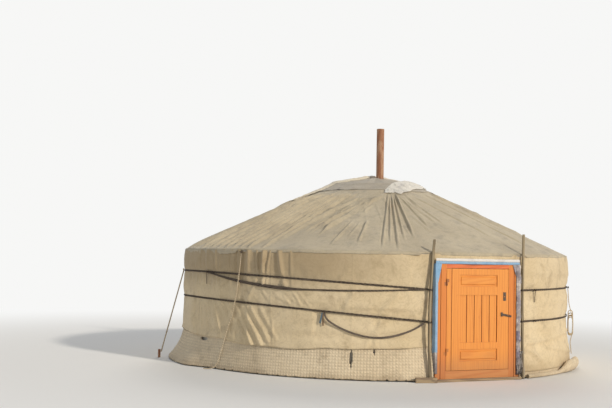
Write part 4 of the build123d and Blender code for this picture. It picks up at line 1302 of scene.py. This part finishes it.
for number in range(58):
    bearing = rng.uniform(-60, 165)
    inner = rng.uniform(0.85, 1.4)
    outer = rng.uniform(1.9, 2.85)
    roof_fold((bearing, inner), (bearing + rng.uniform(-8, 8), outer),
              rng.uniform(0.018, 0.04), rng.uniform(0.006, 0.018))
for number in range(30):
    bearing = rng.uniform(165, 270)
    inner = rng.uniform(1.0, 2.0)
    roof_fold((bearing, inner), (bearing + rng.uniform(-6, 4), inner + rng.uniform(0.4, 0.8)),
              rng.uniform(0.014, 0.026), rng.uniform(0.003, 0.009))
sector_folds = {}


def folds_by_bearing(bearing):
    """The roof folds that can touch a column."""
    key = round(bearing / 3)
    if key not in sector_folds:
        kept = []
        for fold in roof_folds:
            ends = [degrees(atan2(fold[1], fold[0])), degrees(atan2(fold[3], fold[2]))]
            gaps = [abs((end - bearing + 180) % 360 - 180) for end in ends]
            if min(gaps) < 16:
                kept.append(fold)
        sector_folds[key] = kept
    return sector_folds[key]


# %% Roof canvas
ROOF_EDGE, ROOF_HOLE = 2.9050, 0.705
HEM_SHARE = 0.05
TALLEST_FOLD = 0.052
PRESSED_BY = ((-105.5, 4), (-78.5, 4), (-156.5, 3))
ROOF_COLUMNS = finer((0.085, 80), (0.66, 290), (1.0, 430))


def roof_height_at(bearing, out):
    """Height of the roof canvas with its folds."""
    x, y = out * cos(radians(bearing)), out * sin(radians(bearing))
    flat_edge = step(out, 2.90, 2.80)
    folds = fold_at(folds_by_bearing(bearing), x, y)
    folds -= 0.85 * max(0.0, folds - TALLEST_FOLD)
    poles = -0.003 * (0.5 - 0.5 * cos(2 * pi * (bearing + 77) / 7.42)) * window(out, 1.2, 2.6, 0.4)
    soft = 0.007 * waves(x * 2.1, y * 2.1) + 0.003 * waves(x * 7, y * 7, 3.0)
    seams = 0.0035 * exp(-((bearing + 77) % 36 * out * ARC / WALL / 0.008) ** 2)
    ring = 0.003 * exp(-((out - 1.87) / 0.009) ** 2)
    lift = max(-0.009, folds + poles + soft) + seams + ring
    return roof_line(out) + 0.004 + lift * (0.4 + 0.6 * flat_edge)


def roof_point(u, v):
    """The roof canvas from its hem, at v 0, to the crown. Poles and the front rope press the hem flat."""
    bearing = DOOR + 360 * u
    around = turned(bearing)
    pressed = max(window(around, turned(at), turned(at + wide), 1.0) for at, wide in PRESSED_BY)
    if v < HEM_SHARE:
        share = v / HEM_SHARE
        drop = 0.030 + 0.009 * waves(bearing * 0.16, 2.0) + 0.005 * waves(bearing * 0.9, 6.0)
        drop = (drop + 0.03 * window(around, 168, 200, 6)) * (1 - 0.75 * pressed) + 0.004
        curl = (0.001 + 0.004 * waves(bearing * 0.7, 1.0)) * (1 - pressed) * (1 - share)
        top = roof_height_at(bearing, ROOF_EDGE)
        return polar(ROOF_EDGE - 0.003 * pressed + curl, bearing, top - drop * (1 - share))
    share = (v - HEM_SHARE) / (1 - HEM_SHARE)
    out = ROOF_EDGE + (ROOF_HOLE - ROOF_EDGE) * share
    return polar(out, bearing, roof_height_at(bearing, out))


roof = cloth("roof_canvas_cloth", roof_point, ROOF_COLUMNS, 60, (18.2, 2.5), roof_canvas, closed=True)
hang(roof, ["roof_canvas"], "canvas", (18.2, 2.5), "laid",
     area=27.6)

# %% [markdown]
# ## Crown
# A cloth lies over the crown wheel, with a hole for the pipe; its grey colour is painted shade. A cream
# cloth is folded back over the far half and makes the ridge of the roof's outline, and one bleached
# corner of it lies wrinkled in front.

# %% Crown cloth
pipe_low, pipe_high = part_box("chimney")
PIPE = Vector(((pipe_low[0] + pipe_high[0]) / 2, (pipe_low[1] + pipe_high[1]) / 2, 0))
PROFILE = ((0.0, crown_top), (0.17, crown_top - 0.006), (0.40, (crown_top + roof_line(0.69)) / 2 + 0.020),
           (0.69, roof_line(0.69) + 0.022), (0.78, roof_line(0.78) + 0.012))


def crown_line(out):
    """Height of the crown cloth: straight between its supports, and then along the roof."""
    return straight(PROFILE, out) if out <= PROFILE[-1][0] else roof_line(out) + 0.012


def crown_height(x, y):
    """Height of the crown cloth with its sags and wrinkles, or of the roof beyond it."""
    out, bearing = hypot(x, y), degrees(atan2(y, x))
    sag = -0.012 * (0.5 - 0.5 * cos(radians(bearing * 6))) * window(out, 0.25, 0.60, 0.12)
    wrinkle = 0.010 * waves(x * 6, y * 6, 1.0) + 0.006 * waves(x * 15, y * 15, 4.0)
    rays = 0.008 * waves(bearing * 0.09, out * 1.5, 8.0)
    on_roof = max(roof_height_at(bearing, out) + 0.006, 0.0) if out > 0.70 else 0.0
    return max(crown_line(out) + sag + wrinkle + rays, on_roof)


def crown_edge(bearing):
    """How far the crown cloth reaches at a bearing."""
    return 0.93 + 0.03 * waves(bearing * 0.05, 1.0) + 0.015 * waves(bearing * 0.3, 2.0)


def crown_point(u, v):
    """The crown cloth from its outer edge in to the hole round the pipe."""
    angle = 360 * u
    away = polar(1, angle)
    edge = crown_edge(angle)
    dot = away.dot(PIPE)
    reach = -dot + sqrt(dot * dot + edge**2 - PIPE.length_squared)
    hole = 0.0625
    out = hole + (reach - hole) * (1 - v) ** 0.9
    spot = PIPE + away * out
    collar = 0.020 * exp(-((out - hole) / 0.03) ** 2)
    return Vector((spot.x, spot.y, crown_height(spot.x, spot.y) + collar))


crown = cloth("crown_cloth", crown_point, 168, 40, (5.6, 0.95), shaded_crown_canvas, closed=True)
hang(crown, ["crown_cover"], "canvas", (1.9, 1.9), "draped", area=2.9)

# %% [markdown]
# The folded cloth is one sheet between two lines of places seen from above. Its front edge is tucked
# under, so that a round fold makes the ridge, and the rest runs down the far side of the roof.

# %% Cloth folded back over the crown
FRONT = ((-1.36, 0.20), (-0.95, 0.05), (-0.50, -0.02), (0.20, -0.055), (0.88, -0.09))
BACK = ((-0.95, 0.62), (-0.06, 1.33), (0.30, 1.16), (0.82, 0.62))


def along_line(table, share):
    """A point part of the way along a line of places seen from above."""
    spot = share * (len(table) - 1)
    index = min(int(spot), len(table) - 2)
    return Vector((*table[index], 0)).lerp(Vector((*table[index + 1], 0)), spot - index)


def fold_back_point(u, v):
    """The folded cloth: v 0 is tucked under, the fold is the ridge, and v 1 is the back edge."""
    front, back = along_line(FRONT, u), along_line(BACK, u)
    if v < 0.16:
        share = v / 0.16
        spot = front - Vector((0.010, 0.045, 0)) * (1 - share) * step(u, 0.10, 0.30)
        lift = 0.033 * sqrt(share) * (0.4 + 0.6 * step(u, 0.05, 0.25))
    else:
        share = (v - 0.16) / 0.84
        spot = front.lerp(back, share)
        lift = 0.008 + 0.020 * exp(-((share / 0.06) ** 2)) + 0.005 * (1 - share)
    spot += Vector((0.012 * waves(u * 9, v * 3, 1.0), 0.016 * waves(u * 7, v * 4, 6.0), 0))
    wrinkle = 0.012 * waves(spot.x * 7, spot.y * 5, 2.0) + 0.006 * waves(spot.x * 19, spot.y * 15)
    away = (spot - PIPE).length
    lift = 0.002 + (lift + 0.002 + max(0.0, wrinkle) * min(1.0, v / 0.16)) * min(1.0, 0.05 + 9 * u)
    if away < 0.085:
        spot = PIPE + (spot - PIPE).normalized() * 0.085
    return Vector((spot.x, spot.y, crown_height(spot.x, spot.y) + lift))


fold_back = cloth("crown_fold_back", fold_back_point, 150, 62, (2.4, 1.3), flap_canvas, 0.004)
hang(fold_back, ["crown_flap"], "canvas", (2.35, 1.25), "folded",
     area=2.2)

# %% [markdown]
# The bleached corner lies in front of the pipe. It lies between two lines of places as well, with
# wrinkles that spread like rays from where it is gathered.

# %% Bleached corner in front of the pipe
CORNER_LOW = ((-0.37, -1.00), (-0.24, -1.05), (-0.13, -1.06), (0.10, -0.94), (0.39, -0.74), (0.63, -0.50),
              (0.83, -0.20))
CORNER_HIGH = ((-0.30, -0.90), (-0.17, -0.78), (-0.03, -0.66), (0.10, -0.54), (0.31, -0.40), (0.56, -0.26),
               (0.80, -0.13))


def corner_point(u, v):
    """A wrinkled corner that hangs down the roof in front, right of the pipe."""
    spot = along_line(CORNER_LOW, u).lerp(along_line(CORNER_HIGH, u), v)
    ragged = 0.045 * waves(u * 8, 2.0) * (1 - v) + 0.045 * waves(u * 7, 6.0) * v
    spot += Vector((0.012 * waves(u * 11, v * 4, 3.0), ragged, 0))
    gather = degrees(atan2(spot.y + 0.45, spot.x + 0.30))
    ripple = 0.022 * waves(gather * 0.10, v * 2, 5.0) + 0.010 * waves(spot.x * 24, spot.y * 20, 7.0)
    edge = min(1.0, 8 * v, 8 * (1 - v), 10 * u, 10 * (1 - u))
    height = crown_height(spot.x, spot.y) + 0.010 + (0.012 + max(-0.008, ripple)) * edge
    return Vector((spot.x, spot.y, height))


corner = cloth("crown_corner_cloth", corner_point, 110, 40, (1.5, 0.4), white_canvas, 0.003)
hang(corner, ["crown_cover"], "canvas", (1.50, 0.40), "draped", area=0.40)

# %% [markdown]
# ## Cloth round the doorway
# Strips of cotton close the gap between the door frame and the canvas. A light blue band lies along
# the head and wraps the upper left corner, blue cloth runs down the left side to grey, and the right
# side is stuffed with grey and white cloth.


# %% Bands along the head
def band_front(x):
    """Distance in front of the middle at which a cloth over the door lies."""
    return -max(sqrt(2.9055**2 - x * x), -frame_front + 0.0055)


def head_band_point(u, v):
    """The blue band over the head."""
    x = (2 * u - 1) * (frame_half + 0.006)
    swell = 0.004 * sin(pi * v) + 0.0015 * waves(x * 14, v * 3)
    return Vector((x, band_front(x) - swell, frame_top + 0.002 + 0.033 * v + 0.002 * waves(x * 6, 3.0)))


head_band = cloth("head_band_blue", head_band_point, 110, 7, (1.3, 0.04), blue_cotton, 0.002)


def white_hem_point(u, v):
    """The white rolled hem above the blue band."""
    x = (2 * u - 1) * (frame_half + 0.004)
    angle = pi * (1.2 * v - 0.6)
    thick = 0.0075 + 0.001 * waves(x * 9, 2.0)
    tall = 0.0180 + 0.003 * waves(x * 5, 4.0)
    height = frame_top + 0.054 + tall * sin(angle) + 0.002 * waves(x * 6, 3.0)
    return Vector((x, band_front(x) - thick * cos(angle), height))


white_hem = cloth("head_hem_white", white_hem_point, 110, 10, (1.3, 0.045), hem_canvas, 0.001)


# %% Strips beside the frame
def side_strip(name, side, low, high, line, finish, crush, seed):
    """A strip that wraps the outer edge of a jamb. line gives (x, y) points, x from the frame's edge."""

    def place(u, v):
        spot = along_line(line, u)
        height = low + (high - low) * v
        push = crush * (0.7 * waves(height * 9, u * 1.5, seed) + 0.5 * waves(height * 26, u * 4, seed + 3))
        ease = step(v, 0.0, 0.04) * step(v, 1.0, 0.96)
        x = frame_half + spot.x + push * ease * (0.3 + u)
        return Vector((side * x, spot.y - abs(push) * ease * 0.8, height))

    rows = int((high - low) * 90)
    return cloth(name, place, 12, rows, (0.12, high - low), finish, 0.0025, offset=side)


LEFT_LINE = ((-0.030, frame_front - 0.005), (0.004, frame_front - 0.007), (0.009, frame_front + 0.020),
             (0.012, frame_front + 0.048))
RIGHT_LINE = ((-0.046, frame_front - 0.008), (-0.018, frame_front - 0.020), (0.016, frame_front - 0.012),
              (0.024, frame_front + 0.048))
left_blue = side_strip("door_strip_blue", -1, 0.36, 1.485, LEFT_LINE, blue_cotton, 0.005, 1.0)
left_grey = side_strip("door_strip_grey", -1, 0.10, 0.37, LEFT_LINE, grey_cotton, 0.005, 5.0)
right_high = side_strip("door_stuffing_high", 1, 0.62, 1.485, RIGHT_LINE, grey_cotton, 0.018, 9.0)
right_low = side_strip("door_stuffing_low", 1, 0.06, 0.63, RIGHT_LINE, lilac_cotton, 0.018, 14.0)


def corner_wrap(name, side, wide, tall, finish, seed):
    """A three-cornered piece that wraps an upper corner of the frame."""

    def place(u, v):
        height = frame_top + 0.004 - tall * v
        across = wide * (1 - v) ** 0.8 + 0.004
        x = frame_half + 0.005 - across * u
        ripple = 0.003 * waves(u * 4, v * 7, seed)
        return Vector((side * x, frame_front - 0.0085 - abs(ripple), height))

    return cloth(name, place, 12, 34, (wide, tall), finish, 0.002, offset=-side)


wrap_left = corner_wrap("corner_wrap_blue", -1, 0.085, 0.34, blue_cotton, 2.0)
wrap_right = corner_wrap("corner_wrap_grey", 1, 0.105, 0.25, grey_cotton, 6.0)
for obj, flat, area, held in (
    (head_band, (1.3, 0.04), None, "stretched"), (white_hem, (1.3, 0.045), None, "stretched"),
    (left_blue, (0.10, 1.13), None, "gathered"), (left_grey, (0.10, 0.27), None, "gathered"),
    (right_high, (0.12, 0.87), None, "gathered"), (right_low, (0.12, 0.57), None, "gathered"),
    (wrap_left, (0.085, 0.34), 0.017, "stretched"), (wrap_right, (0.105, 0.25), 0.016, "stretched"),
):
    hang(obj, ["door_edging"], "blue_cloth", flat, held, area)

# %% [markdown]
# ## Door poles
# Two peeled poles stand on the ground and lean on the eave beside the door. Grown wood is never
# quite straight, so each pole gets a slight bow, a taper and knots, between the feet and the tops
# that the CAD poles have. The belts end in a few turns of rope round each pole.


# %% Poles
def pole_ends(side):
    """Foot and top of a CAD pole: the middles of its lowest and highest corners."""
    corners = [v.co for v in nodes["door_poles"].data.vertices if v.co.x * side > 0]
    low, high = min(c.z for c in corners), max(c.z for c in corners)
    ends = []
    for near_end in (lambda c: c.z < low + 0.03, lambda c: c.z > high - 0.03):
        chosen_corners = [c for c in corners if near_end(c)]
        ends.append(sum(chosen_corners, Vector()) / len(chosen_corners))
    return ends


def pole_point(side, share, bow, lean):
    """A point on a bowed pole. bow and lean go along the wall, in metres."""
    foot, top = pole_ends(side)
    return foot.lerp(top, share) + Vector((bow * sin(pi * share) + lean * share**2, -0.004, 0))


def bent_pole(name, side, bow, lean, seed):
    """A grown pole: a tube that bends, tapers and swells at its knots."""
    steps, sides, corners = 90, 14, []
    for index in range(steps + 1):
        share = index / steps
        centre = pole_point(side, share, bow, lean)
        for number in range(sides):
            angle = 2 * pi * number / sides
            knobs = 0.0015 * waves(share * 30, cos(angle), seed)
            knobs += 0.0010 * waves(share * 9, sin(angle) * 2, seed + 4)
            swell = 0.0205 - 0.0030 * share + knobs
            if share in (0.0, 1.0):
                swell *= 0.9
            corners.append(centre + Vector((swell * cos(angle), swell * sin(angle), 0)))
    settle(joined(name, [(corners, tube_faces(steps + 1, sides, -1))], pole_wood), "bare_pole", "door_poles")


POLES = {"left": (-1, -0.035, 0.030), "right": (1, -0.006, 0.030)}
pole_ties = []
for number, (name, (side, bow, lean)) in enumerate(POLES.items()):
    bent_pole(f"door_pole_{name}", side, bow, lean, 3.0 + number)
    low_end, high_end = pole_ends(side)
    for heights in (UPPER, MIDDLE):
        at = (heights[1] - low_end.z) / (high_end.z - low_end.z)
        centre = pole_point(side, at, bow, lean)
        turns_line = []
        for index in range(61):
            angle = 2 * pi * 3 * index / 60
            ring = 0.0230 + 0.0012 * sin(2.3 * angle)
            level = 0.011 * (index / 60 - 0.5) * 2
            turns_line.append(centre + Vector((ring * cos(angle), ring * sin(angle), level)))
        pole_ties.append(wound(turns_line, 0.0042, 0.0036, 0.05))
settle(joined("belt_ends_on_poles", pole_ties, dark_rope), "belt_rope", "upper_belt", "middle_belt")

# %% [markdown]
# A torn dark cloth hangs by the foot of the right pole. It is one small sheet whose rows are cut
# into tails by leaving out some of its columns.


# %% Dark cloth tails
def tail_point(u, v):
    """Narrow tails that hang side by side and spread a little at their ends."""
    height = 0.36 - 0.30 * v - 0.03 * waves(u * 8, 2.0) * v
    x = frame_half - 0.030 + 0.105 * u + 0.020 * (u - 0.5) * v + 0.010 * waves(u * 5, v * 3)
    return Vector((x, frame_front - 0.012 - 0.020 * abs(waves(u * 7, v * 3, 5.0)) - 0.008 * v, height))


tails = cloth("door_foot_tails", tail_point, 40, 26, (0.12, 0.32), dark_cotton, 0.0025,
              lambda u, v: v > 0.10 and int(u * 40) % 8 > 4)
hang(tails, ["door_edging"], "blue_cloth", (0.12, 0.32), "hung")
